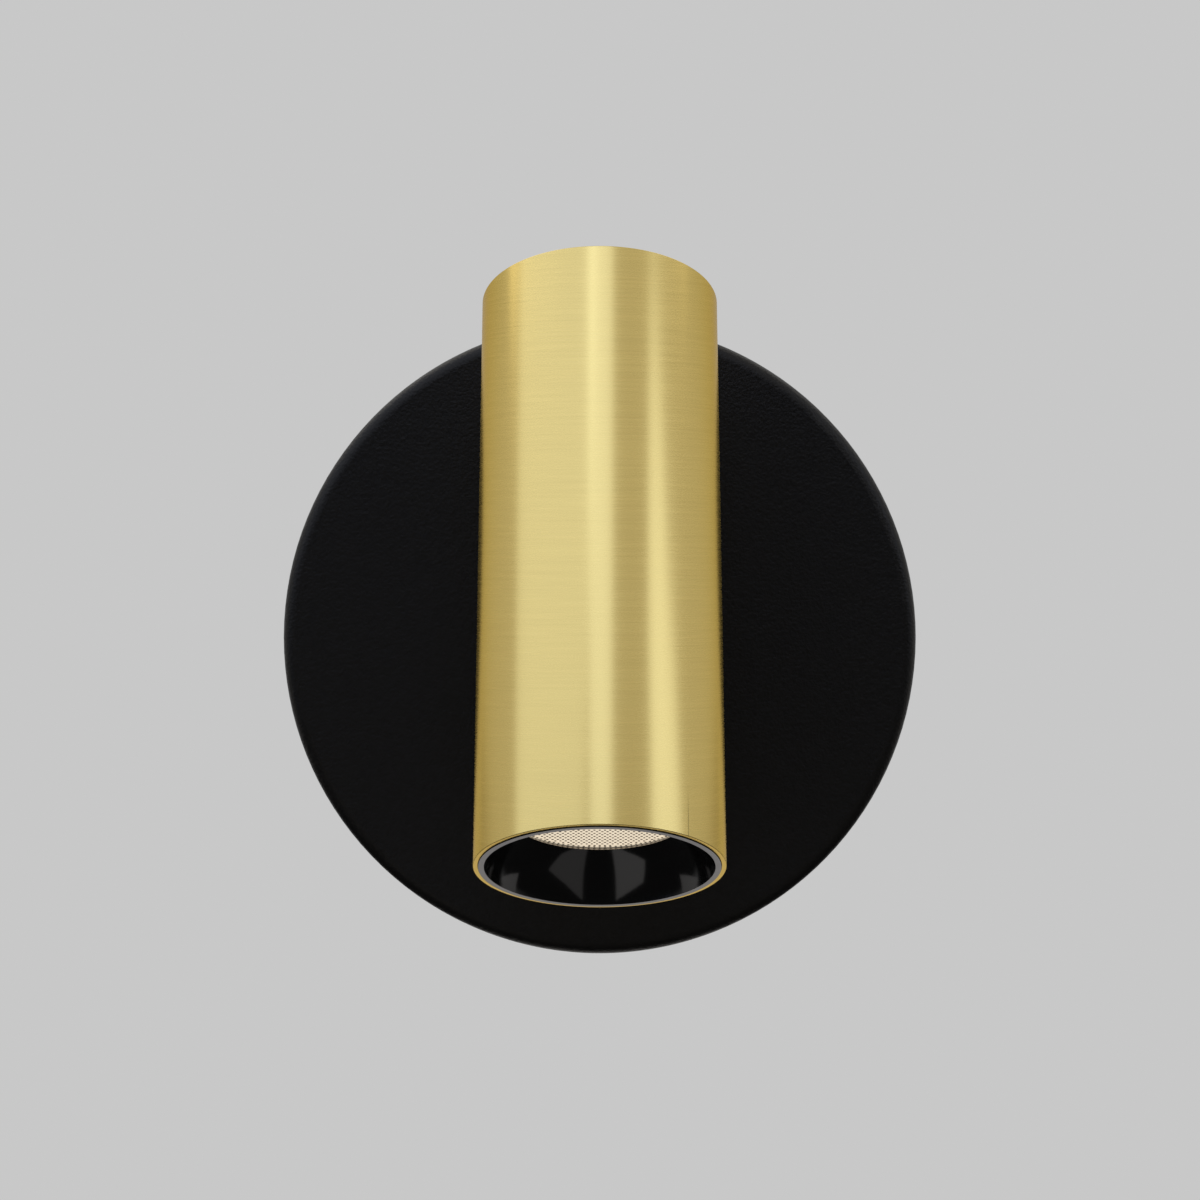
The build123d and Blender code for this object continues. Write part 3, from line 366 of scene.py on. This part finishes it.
# Spun brass cap in the tube's upper end
capLook = {
    "radius": 24.95, "face": 131.1, "thickness": 2.5, "skirt": 7.0, "wall": 1.5, "segments": 160,
    "edge": 0.4, "edgeSteps": 4, "midRing": 0.5,  # share of the radius, breaks up the flat face
    "color": (0.78, 0.595, 0.205), "roughness": 0.33, "edgeTint": (0.95, 0.80, 0.50),
    "anisotropic": 0.6, "sheenTurn": 0.25,
    "amount": 0.15, "glossChange": 0.08, "streakLength": 0.012, "streakWidth": 0.0006,
}


def makeCap():
    look = capLook
    radius, face, edge = look["radius"], look["face"], look["edge"]
    inner, inside = radius - look["wall"], face - look["thickness"]
    foot = inside - look["skirt"]
    profile = [(0, face), (radius * look["midRing"], face)]
    profile += arcPoints((radius - edge, face - edge), edge, 90, 0, look["edgeSteps"])
    profile += [(radius, foot), (inner, foot), (inner, inside), (0, inside)]
    cap = turnProfile("brassCap", profile, headFrame, look["segments"])
    streaks = (1 / look["streakWidth"], 1 / look["streakLength"], 1 / look["streakLength"])
    brass = brassMaterial("spunBrass", look, (lean, 0, 0), streaks)
    return finishPiece(cap, "head", ["rear_cap"], "brushed_brass", brass)


makeCap()
print("cap made")

# Glossy black baffle with its flat rim
baffleLook = {
    "rimOuter": 24.95, "rimInner": 23.75, "rimFace": -0.2, "rimBack": 1.6,
    "aperture": 17.6, "lipFront": 10.0, "lipBack": 10.8, "lipOuter": 20.8, "lipUndercut": 0.8,
    "bulge": 0.8, "bulgeSteps": 28, "lipRear": 18.6, "coneRear": (22.4, 6.1),
    "skirtOuter": 24.8, "skirtInner": 22.8, "skirtEnd": 15.1, "segments": 256, "sharpAngle": 35,
    "wallLook": {"color": (0.0025, 0.0025, 0.0028), "roughness": 0.10, "amount": 0.2,
                 "glossChange": 0.04, "scale": 90.0, "specular": 0.8},
    "rimLook": {"color": (0.155, 0.15, 0.15), "roughness": 0.3, "amount": 0.12,
                "glossChange": 0.1, "scale": 400.0, "metallic": 1.0},
    # the lip's edge is painted pale and warm: a painted reflection of the lens's light in the black
    # lip
    "lipGlintLook": {"color": (0.34, 0.31, 0.28), "roughness": 0.35, "amount": 0.12,
                "glossChange": 0.1, "scale": 400.0, "metallic": 0.4},
}


def bulgedWall(start, end, bulge, steps):
    # arc from start to end, bowed outwards by the bulge
    start, end = Vector(start), Vector(end)
    chord = end - start
    half = chord.length / 2
    radius = (half * half + bulge * bulge) / (2 * bulge)
    out = Vector((chord.y, -chord.x)).normalized()
    centre = (start + end) / 2 - out * (radius - bulge)
    first, last = start - centre, end - centre
    firstAngle = math.degrees(math.atan2(first.y, first.x))
    lastAngle = math.degrees(math.atan2(last.y, last.x))
    return arcPoints(centre, radius, firstAngle, lastAngle, steps)


def makeBaffle():
    look = baffleLook
    aperture, lipFront, lipBack = look["aperture"], look["lipFront"], look["lipBack"]
    rimFace, rearHeight = look["rimFace"], look["coneRear"][1]
    rim = [(look["rimOuter"], rimFace)]
    cone = bulgedWall((look["rimInner"], rimFace), (aperture, lipFront),
                      look["bulge"], look["bulgeSteps"])
    under, middle = look["lipUndercut"], (lipFront + lipBack) / 2
    lip = [(aperture + under / 2, middle), (aperture + under, lipBack),
           (look["lipOuter"], lipBack), (look["lipOuter"], lipFront)]
    back = [(look["lipRear"], lipFront), look["coneRear"], (look["skirtInner"], rearHeight)]
    skirt = [(look["skirtInner"], look["skirtEnd"]), (look["skirtOuter"], look["skirtEnd"]),
             (look["skirtOuter"], look["rimBack"]), (look["rimOuter"], look["rimBack"])]
    profile = rim + cone + lip + back + skirt
    wallSlot, rimSlot, lipGlintSlot = 0, 1, 2  # the order of the finishes below
    rimFinishAndLipGlint = {0: rimSlot, len(rim) + len(cone) - 1: lipGlintSlot}  # the flat rim, and the lip's edge with a painted reflection of the lens's light
    baffle = turnProfile("blackBaffle", profile, headFrame, look["segments"], look["sharpAngle"],
                         lambda k: rimFinishAndLipGlint.get(k, wallSlot))
    wallFinish = plainMaterial("polishedBlack", mottleGroup, look["wallLook"])
    rimFinish = plainMaterial("satinRim", mottleGroup, look["rimLook"])
    # painted reflection: the lip's edge gets a pale warm colour standing in for the lens's light
    # mirrored in it
    lipGlintFinish = plainMaterial("bareLip", mottleGroup, look["lipGlintLook"])
    return finishPiece(baffle, "head", ["baffle"], "gloss_black", wallFinish, rimFinish, lipGlintFinish)


makeBaffle()
print("baffle made")

# Lens: a cream face with rows of little dark dots
lensLook = {
    "faceRadius": 18.4, "depth": 10.8, "pitch": 1.1, "edgeRadius": 18.0, "edgeDots": 100,
    "dotRadius": 0.30, "dotHeight": 0.06, "dotSegments": 8, "dotRings": 4,
    "edgeGap": 2.2,  # dot radii that the rows keep from the ring of edge dots
    "face": {"color": (0.92, 0.79, 0.60), "roughness": 0.25, "amount": 0.10,
             "glossChange": 0.05, "scale": 500.0},
    "glow": 0.68,
    "dot": {"color": (0.055, 0.033, 0.02), "roughness": 0.3, "amount": 0.3,
            "glossChange": 0.05, "scale": 900.0},
}
dotSizes = {"Face Radius": "faceRadius", "Pitch": "pitch", "Dot Radius": "dotRadius",
            "Dot Height": "dotHeight", "Edge Radius": "edgeRadius"}  # inputs and their settings


def buildDotTree(material):
    tree = bpy.data.node_groups.new("lensDots", "GeometryNodeTree")
    link = tree.links.new

    def addInput(label, kind):
        socket = tree.interface.new_socket(label, in_out="INPUT", socket_type="NodeSocket" + kind)
        return socket.identifier

    def mathNode(kind, first, second=None):
        node = addNode(tree, "ShaderNodeMath", operation=kind)
        for socket, value in zip(node.inputs, (first, second)):
            if value is None:
                continue
            if isinstance(value, (int, float)):
                socket.default_value = value
            else:
                link(value, socket)
        return node.outputs[0]

    inputs = {label: addInput(label, "Float") for label in dotSizes}
    inputs["Edge Dots"] = addInput("Edge Dots", "Int")
    tree.interface.new_socket("Geometry", in_out="OUTPUT", socket_type="NodeSocketGeometry")
    given, made = tree.nodes.new("NodeGroupInput"), tree.nodes.new("NodeGroupOutput")
    pitch, dotRadius = given.outputs["Pitch"], given.outputs["Dot Radius"]
    faceRadius, edgeRadius = given.outputs["Face Radius"], given.outputs["Edge Radius"]

    # rows of points over the whole face, with two columns to spare
    rowPitch = mathNode("MULTIPLY", pitch, math.sqrt(3) / 2)
    halfAcross = mathNode("CEIL", mathNode("DIVIDE", faceRadius, pitch))
    halfRows = mathNode("CEIL", mathNode("DIVIDE", faceRadius, rowPitch))
    across = mathNode("ADD", mathNode("MULTIPLY", halfAcross, 2), 3)
    rows = mathNode("ADD", mathNode("MULTIPLY", halfRows, 2), 1)
    grid = tree.nodes.new("GeometryNodeMeshGrid")
    link(mathNode("MULTIPLY", mathNode("SUBTRACT", across, 1), pitch), grid.inputs["Size X"])
    link(mathNode("MULTIPLY", mathNode("SUBTRACT", rows, 1), rowPitch), grid.inputs["Size Y"])
    link(across, grid.inputs["Vertices X"])
    link(rows, grid.inputs["Vertices Y"])

    # every second row moves half a pitch
    spot = tree.nodes.new("GeometryNodeInputPosition")
    parts = tree.nodes.new("ShaderNodeSeparateXYZ")
    link(spot.outputs[0], parts.inputs[0])
    rowNumber = mathNode("ROUND", mathNode("DIVIDE", parts.outputs["Y"], rowPitch))
    halfPitch = mathNode("MULTIPLY", pitch, 0.5)
    shift = mathNode("MULTIPLY", mathNode("FLOORED_MODULO", rowNumber, 2), halfPitch)
    offset = tree.nodes.new("ShaderNodeCombineXYZ")
    link(shift, offset.inputs["X"])
    moved = tree.nodes.new("GeometryNodeSetPosition")
    link(grid.outputs["Mesh"], moved.inputs["Geometry"])
    link(offset.outputs[0], moved.inputs["Offset"])

    # none near or beyond the ring of edge dots
    reach = addNode(tree, "ShaderNodeVectorMath", operation="LENGTH")
    where = tree.nodes.new("GeometryNodeInputPosition")
    link(where.outputs[0], reach.inputs[0])
    outside = addNode(tree, "GeometryNodeDeleteGeometry", domain="POINT")
    link(moved.outputs["Geometry"], outside.inputs["Geometry"])
    limit = mathNode("SUBTRACT", edgeRadius, mathNode("MULTIPLY", dotRadius, lensLook["edgeGap"]))
    link(mathNode("GREATER_THAN", reach.outputs["Value"], limit), outside.inputs["Selection"])
    edge = tree.nodes.new("GeometryNodeMeshCircle")
    link(given.outputs["Edge Dots"], edge.inputs["Vertices"])
    link(edgeRadius, edge.inputs["Radius"])
    spots = tree.nodes.new("GeometryNodeJoinGeometry")
    link(outside.outputs["Geometry"], spots.inputs["Geometry"])
    link(edge.outputs["Mesh"], spots.inputs["Geometry"])

    # one flattened little ball on each point
    dot = tree.nodes.new("GeometryNodeMeshUVSphere")
    dot.inputs["Segments"].default_value = lensLook["dotSegments"]
    dot.inputs["Rings"].default_value = lensLook["dotRings"]
    dot.inputs["Radius"].default_value = 1.0
    smooth = tree.nodes.new("GeometryNodeSetShadeSmooth")
    link(dot.outputs["Mesh"], smooth.inputs["Geometry"])
    size = tree.nodes.new("ShaderNodeCombineXYZ")
    link(dotRadius, size.inputs["X"])
    link(dotRadius, size.inputs["Y"])
    link(given.outputs["Dot Height"], size.inputs["Z"])
    placed = tree.nodes.new("GeometryNodeInstanceOnPoints")
    link(spots.outputs["Geometry"], placed.inputs["Points"])
    link(smooth.outputs["Geometry"], placed.inputs["Instance"])
    link(size.outputs[0], placed.inputs["Scale"])
    real = tree.nodes.new("GeometryNodeRealizeInstances")
    link(placed.outputs["Instances"], real.inputs["Geometry"])
    coat = tree.nodes.new("GeometryNodeSetMaterial")
    coat.inputs["Material"].default_value = material
    link(real.outputs["Geometry"], coat.inputs["Geometry"])
    link(coat.outputs["Geometry"], made.inputs["Geometry"])
    return tree, inputs


def makeLens():
    look = lensLook
    faceFinish, tree, shader = startMaterial("lensCream")
    effect = feedShader(tree, shader, mottleGroup, look["face"])
    tree.links.new(effect.outputs["Color"], shader.inputs["Emission Color"])
    shader.inputs["Emission Strength"].default_value = look["glow"]
    dressNodes(faceFinish, "lens")
    dotTree, inputs = buildDotTree(plainMaterial("lensDot", mottleGroup, look["dot"]))
    carrier = addObject("dotCarrier", bpy.data.meshes.new("dotCarrier"))
    modifier = carrier.modifiers.new("dots", "NODES")
    modifier.node_group = dotTree
    for label, key in dotSizes.items():
        modifier[inputs[label]] = look[key] * mm
    modifier[inputs["Edge Dots"]] = look["edgeDots"]
    evaluated = carrier.evaluated_get(bpy.context.evaluated_depsgraph_get())
    mesh = bpy.data.meshes.new_from_object(evaluated)
    bpy.data.objects.remove(carrier)
    mesh.transform(headFrame @ Matrix.Translation((0, 0, look["depth"] * mm)))
    mesh.name = "lensDots"
    dots = addObject("lensDots", mesh)
    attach(dots, "head")
    return dots


lensDots = makeLens()
print("lens made:", len(lensDots.data.polygons), "faces in its dots")

# Finishes of the other pieces
pieceLooks = {
    "powderBlack": (grainGroup, ["canopy"], {
        "color": (0.0042, 0.0040, 0.0037), "roughness": 0.40, "amount": 0.5, "glossChange": 0.2,
        "scale": 1600.0, "bump": 0.30, "bumpDepth": 0.0005, "specular": 0.24,
        "edgeTint": (1.0, 0.95, 0.87)}),
    "satinBlack": (grainGroup, ["swivel_arm", "hinge_lug"], {
        "color": (0.008, 0.008, 0.0085), "roughness": 0.42, "amount": 0.3, "glossChange": 0.1,
        "scale": 1600.0, "bump": 0.12, "bumpDepth": 0.0002, "specular": 0.3}),
    "whiteMoulding": (mottleGroup, ["terminal_block", "driver_case", "led_holder", "lens_holder"], {
        "color": (0.70, 0.69, 0.66), "roughness": 0.45, "amount": 0.06, "glossChange": 0.1,
        "scale": 120.0}),
    "greyMoulding": (mottleGroup, ["driver_lid"], {
        "color": (0.26, 0.265, 0.275), "roughness": 0.5, "amount": 0.1, "glossChange": 0.12,
        "scale": 160.0}),
    "blackMoulding": (mottleGroup, ["swivel_bush"], {
        "color": (0.012, 0.012, 0.012), "roughness": 0.45, "amount": 0.25, "glossChange": 0.1,
        "scale": 300.0}),
    "zincSheet": (mottleGroup, ["wall_bracket", "stop_washer"], {
        "color": (0.56, 0.57, 0.57), "roughness": 0.34, "amount": 0.22, "glossChange": 0.25,
        "scale": 140.0, "metallic": 1.0}),
    "screwSteel": (mottleGroup, ["terminal_screws", "terminal_fixing_screw", "led_holder_screws",
                                 "swivel_stop_pin", "disc_spring", "lock_nuts"], {
        "color": (0.60, 0.595, 0.58), "roughness": 0.28, "amount": 0.15, "glossChange": 0.2,
        "scale": 500.0, "metallic": 1.0}),
    "blackSteel": (mottleGroup, ["canopy_screws", "pivot_screws", "lug_screws"], {
        "color": (0.035, 0.035, 0.037), "roughness": 0.4, "amount": 0.3, "glossChange": 0.2,
        "scale": 500.0, "metallic": 1.0}),
    "turnedBrass": (mottleGroup, ["earth_lug", "earth_screw", "swivel_nipple"], {
        "color": (0.66, 0.47, 0.17), "roughness": 0.3, "amount": 0.15, "glossChange": 0.15,
        "scale": 400.0, "metallic": 1.0}),
    "sinkAluminium": (mottleGroup, ["heat_sink"], {
        "color": (0.66, 0.67, 0.68), "roughness": 0.4, "amount": 0.1, "glossChange": 0.1,
        "scale": 200.0, "metallic": 1.0}),
    "boardWhite": (mottleGroup, ["led_board"], {
        "color": (0.75, 0.75, 0.73), "roughness": 0.35, "amount": 0.06, "glossChange": 0.05,
        "scale": 300.0}),
    "phosphor": (mottleGroup, ["led_emitter"], {
        "color": (0.80, 0.52, 0.06), "roughness": 0.35, "amount": 0.12, "glossChange": 0.05,
        "scale": 700.0}),
    "greyPad": (mottleGroup, ["thermal_pad", "driver_pads"], {
        "color": (0.16, 0.16, 0.165), "roughness": 0.85, "amount": 0.25, "glossChange": 0.1,
        "scale": 700.0}),
    "blackRubber": (mottleGroup, ["baffle_ring", "lead_grommet"], {
        "color": (0.014, 0.014, 0.014), "roughness": 0.7, "amount": 0.3, "glossChange": 0.1,
        "scale": 400.0}),
    "brownLead": (mottleGroup, ["live_lead"], {
        "color": (0.115, 0.045, 0.018), "roughness": 0.42, "amount": 0.12, "glossChange": 0.1,
        "scale": 250.0}),
    "blueLead": (mottleGroup, ["neutral_lead"], {
        "color": (0.02, 0.11, 0.45), "roughness": 0.42, "amount": 0.12, "glossChange": 0.1,
        "scale": 250.0}),
    "whiteLead": (mottleGroup, ["driver_output_lead", "arm_lead", "head_lead"], {
        "color": (0.60, 0.59, 0.56), "roughness": 0.45, "amount": 0.1, "glossChange": 0.1,
        "scale": 250.0}),
    "nylon": (mottleGroup, ["friction_washers"], {
        "color": (0.58, 0.56, 0.50), "roughness": 0.5, "amount": 0.1, "glossChange": 0.1,
        "scale": 300.0}),
}
for lookName, (group, pieceNames, look) in pieceLooks.items():
    dressNodes(plainMaterial(lookName, group, look), *pieceNames)
print("plain finishes laid on")

# Earth lead, green with a yellow stripe that winds along it
earthLook = {"green": (0.03, 0.23, 0.03), "yellow": (0.72, 0.55, 0.02),
             "stripe": 900.0, "stripeStart": 0.55,
             "roughness": 0.42, "amount": 0.1, "glossChange": 0.1, "scale": 250.0}


def dressEarthLead():
    look = earthLook
    material, tree, shader = startMaterial("earthLead")
    effect = feedShader(tree, shader, mottleGroup, {**look, "color": look["green"]})
    where = addNode(tree, "ShaderNodeTexCoord")
    bands = addNode(tree, "ShaderNodeTexWave", wave_type="BANDS", bands_direction="DIAGONAL")
    bands.inputs["Scale"].default_value = look["stripe"] / (2 * math.pi)
    tree.links.new(where.outputs["Object"], bands.inputs["Vector"])
    ramp = addNode(tree, "ShaderNodeValToRGB")
    ramp.color_ramp.interpolation = "CONSTANT"
    green, yellow = ramp.color_ramp.elements
    green.color = (*look["green"], 1)
    yellow.color = (*look["yellow"], 1)
    yellow.position = look["stripeStart"]
    tree.links.new(bands.outputs["Fac"], ramp.inputs["Fac"])
    tree.links.new(ramp.outputs["Color"], effect.inputs["Color"])
    dressNodes(material, "earth_lead")


dressEarthLead()
print("earth lead striped")

# Studio: grey surround, soft panels round the tube, lit boards, pale floor, camera
warmWhite = (1.0, 0.96, 0.90)
softWhite = (1.0, 0.97, 0.95)
studio = {
    "grey": 0.578, "dark": 0.02, "ambient": (0.50, 0.47, 0.42),
    "riseWay": (0, 0.45, 1), "riseDark": -0.2, "riseGrey": 0.05,  # from the dark to the grey
    "powerFactor": 4,  # a panel's power for one unit of radiance and area
    "panelDistance": 1.3, "panelTall": 1.8,
    "panels": [  # azimuth range round the tube as mirrored in its surface, radiance, tint
        ("panelLeft", -82, -10, 0.35, (0.80, 1.0, 1.55)),
        ("panelFront", -10, 12, 0.53, (0.80, 1.0, 1.6)),
    ],
    "lights": [  # direction from the tube's middle, distance, width, height, radiance, tint
        ("keyLight", (-0.45, 0.45, 0.77), 0.9, 0.6, 0.6, 0.8, warmWhite),
        ("rimLight", (0.45, 0.45, 0.77), 0.9, 0.5, 0.5, 0.5, warmWhite),
        ("lowBack", (0.0, 0.70, -0.714), 0.55, 0.34, 0.40, 0.55, softWhite),
    ],
    "boards": [  # corners as azimuth and elevation seen from the mouth, distance, radiance, tint
        ("boardLeft", [(-16, 5), (-44, -14), (-52, -36), (-34, -47), (-16, -56)],
         0.55, 0.45, softWhite),
        ("boardRight", [(17, 5), (34, -12), (55, -26), (46, -44), (16, -56)],
         0.55, 0.27, softWhite),
        ("sideLeft", [(-89, -19), (-136, -9), (-136, 4), (-89, 2)], 0.55, 0.42, softWhite),
        ("sideRight", [(91, -20), (136, -9), (136, 4), (91, 2)], 0.55, 0.42, softWhite),
        ("highRight", [(50, 16), (82, 4), (81, 25.5), (78, 33), (80, 41), (80, 49), (70.9, 52.8),
                       (66, 46.7), (60, 43), (55, 39), (54, 34)], 1.3, 1.32, (0.90, 1.0, 1.29)),
    ],
    "floorDrop": 0.62, "floorRadius": 2.0, "floorSegments": 96,
    "floorColor": (0.60, 0.60, 0.60), "floorRoughness": 0.9,
    "hazeFrom": 0.25, "hazeTo": 0.95,  # shares of the floor's radius over which it turns grey
    "camera": (0.00006, -0.7642, 0.00885), "lens": 93.93, "sensor": 36.0, "nearClip": 0.01,
}
mixFactor, mixFirst, mixSecond, mixResult = 0, 6, 7, 2  # places of a colour mix's sockets


def makeWorld():
    world = bpy.data.worlds.new("greySurround")
    bpy.context.scene.world = world
    world.use_nodes = True
    tree = world.node_tree
    rays = addNode(tree, "ShaderNodeLightPath")
    mirrorRay = addNode(tree, "ShaderNodeMath", operation="MAXIMUM")
    tree.links.new(rays.outputs["Is Glossy Ray"], mirrorRay.inputs[0])
    tree.links.new(rays.outputs["Is Transmission Ray"], mirrorRay.inputs[1])
    # mirrored sight lines find the studio dark below and in front
    where = addNode(tree, "ShaderNodeTexCoord")
    rise = addNode(tree, "ShaderNodeVectorMath", operation="DOT_PRODUCT")
    rise.inputs[1].default_value = studio["riseWay"]
    tree.links.new(where.outputs["Generated"], rise.inputs[0])
    mirrored = addNode(tree, "ShaderNodeMapRange", interpolation_type="SMOOTHSTEP")
    mirrored.inputs["From Min"].default_value = studio["riseDark"]
    mirrored.inputs["From Max"].default_value = studio["riseGrey"]
    mirrored.inputs["To Min"].default_value = studio["dark"]
    mirrored.inputs["To Max"].default_value = studio["grey"]
    tree.links.new(rise.outputs["Value"], mirrored.inputs["Value"])
    lit = addNode(tree, "ShaderNodeMix", data_type="RGBA")
    tree.links.new(mirrorRay.outputs[0], lit.inputs[mixFactor])
    lit.inputs[mixFirst].default_value = (*studio["ambient"], 1)
    tree.links.new(mirrored.outputs[0], lit.inputs[mixSecond])
    seen = addNode(tree, "ShaderNodeMix", data_type="RGBA")
    tree.links.new(rays.outputs["Is Camera Ray"], seen.inputs[mixFactor])
    tree.links.new(lit.outputs[mixResult], seen.inputs[mixFirst])
    seen.inputs[mixSecond].default_value = (studio["grey"], studio["grey"], studio["grey"], 1)
    tree.links.new(seen.outputs[mixResult], tree.nodes["Background"].inputs["Color"])
    tree.nodes["Background"].inputs["Strength"].default_value = 1.0


def placeLight(name, out, up, distance, width, tall, radiance, tint):
    light = bpy.data.lights.new(name, "AREA")
    light.shape = "RECTANGLE"
    light.size, light.size_y = width, tall
    light.energy = radiance * studio["powerFactor"] * width * tall
    light.color = tint
    up = (up - out * up.dot(out)).normalized()
    turned = Matrix((up.cross(out), up, out)).transposed().to_4x4()
    turned.translation = mouthCentre + tubeUp * tubeLook["length"] * mm / 2 + out * distance
    lamp = addObject(name, light)
    lamp.matrix_world = turned
    lamp.visible_camera = False


def makePanel(name, start, end, radiance, tint):
    middle, half = math.radians((start + end) / 2), math.radians((end - start) / 2)
    rise, spread = math.sin(lean), math.cos(lean)  # mirrored sight lines lie on a cone
    level = math.cos(middle) * tubeOut + math.sin(middle) * sideways
    out = rise * tubeUp + spread * level
    distance = studio["panelDistance"]
    width = 2 * distance * spread * math.tan(half)
    placeLight(name, out, tubeUp, distance, width, studio["panelTall"], radiance, tint)


def makeLight(name, direction, distance, width, tall, radiance, tint):
    out, up = Vector(direction).normalized(), Vector((0, 0, 1))
    placeLight(name, out, up, distance, width, tall, radiance, tint)


def makeBoard(name, corners, distance, radiance, tint):
    # a lit board, mirrored as a patch in the black cone or as a band on the tube
    mesh = bpy.data.meshes.new(name)
    bm = bmesh.new()
    verts = []
    for azimuth, elevation in corners:
        turn, rise = math.radians(azimuth), math.radians(elevation)
        level = math.cos(rise)
        out = Vector((math.sin(turn) * level, -math.cos(turn) * level, math.sin(rise)))
        verts.append(bm.verts.new(mouthCentre + out * distance))
    bm.faces.new(verts)
    bm.to_mesh(mesh)
    bm.free()
    material, tree, shader = startMaterial(name)
    glow = addNode(tree, "ShaderNodeEmission")
    glow.inputs["Color"].default_value = (*tint, 1)
    glow.inputs["Strength"].default_value = radiance
    tree.links.new(glow.outputs[0], tree.nodes["Material Output"].inputs["Surface"])
    tree.nodes.remove(shader)
    mesh.materials.append(material)
    board = addObject(name, mesh)
    board.visible_camera = False


def makeFloor():
    mesh = bpy.data.meshes.new("floor")
    radius = studio["floorRadius"]
    bm = bmesh.new()
    bmesh.ops.create_circle(bm, cap_ends=True, segments=studio["floorSegments"], radius=radius)
    bm.transform(Matrix.Translation((0, 0, -studio["floorDrop"])))
    bm.to_mesh(mesh)
    bm.free()
    floor = addObject("floor", mesh)
    material, tree, shader = startMaterial("paleFloor")
    shader.inputs["Base Color"].default_value = (*studio["floorColor"], 1)
    shader.inputs["Roughness"].default_value = studio["floorRoughness"]
    # towards its edge the floor is seen in the grey of the surround
    rays = addNode(tree, "ShaderNodeLightPath")
    where = addNode(tree, "ShaderNodeTexCoord")
    flat = addNode(tree, "ShaderNodeVectorMath", operation="MULTIPLY")
    flat.inputs[1].default_value = (1, 1, 0)
    tree.links.new(where.outputs["Object"], flat.inputs[0])
    reach = addNode(tree, "ShaderNodeVectorMath", operation="LENGTH")
    tree.links.new(flat.outputs[0], reach.inputs[0])
    fade = addNode(tree, "ShaderNodeMapRange", interpolation_type="SMOOTHSTEP")
    fade.inputs["From Min"].default_value = radius * studio["hazeFrom"]
    fade.inputs["From Max"].default_value = radius * studio["hazeTo"]
    tree.links.new(reach.outputs["Value"], fade.inputs["Value"])
    share = multiply(tree, fade.outputs[0], rays.outputs["Is Camera Ray"])
    haze = addNode(tree, "ShaderNodeEmission")
    haze.inputs["Color"].default_value = (studio["grey"], studio["grey"], studio["grey"], 1)
    blend = addNode(tree, "ShaderNodeMixShader")
    tree.links.new(share, blend.inputs[0])
    tree.links.new(shader.outputs[0], blend.inputs[1])
    tree.links.new(haze.outputs[0], blend.inputs[2])
    tree.links.new(blend.outputs[0], tree.nodes["Material Output"].inputs["Surface"])
    mesh.materials.append(material)
    floor.visible_glossy = False


def makeCamera():
    camera = bpy.data.cameras.new("camera")
    camera.lens = studio["lens"]
    camera.sensor_width = studio["sensor"]
    camera.sensor_fit = "HORIZONTAL"
    camera.clip_start = studio["nearClip"]
    holder = addObject("camera", camera)
    holder.location = studio["camera"]
    holder.rotation_euler = (math.pi / 2, 0, 0)  # looks straight at the wall
    bpy.context.scene.camera = holder


makeWorld()
for panel in studio["panels"]:
    makePanel(*panel)
for light in studio["lights"]:
    makeLight(*light)
for board in studio["boards"]:
    makeBoard(*board)
makeFloor()
makeCamera()
bpy.context.scene.view_settings.view_transform = "Standard"
print("studio set")
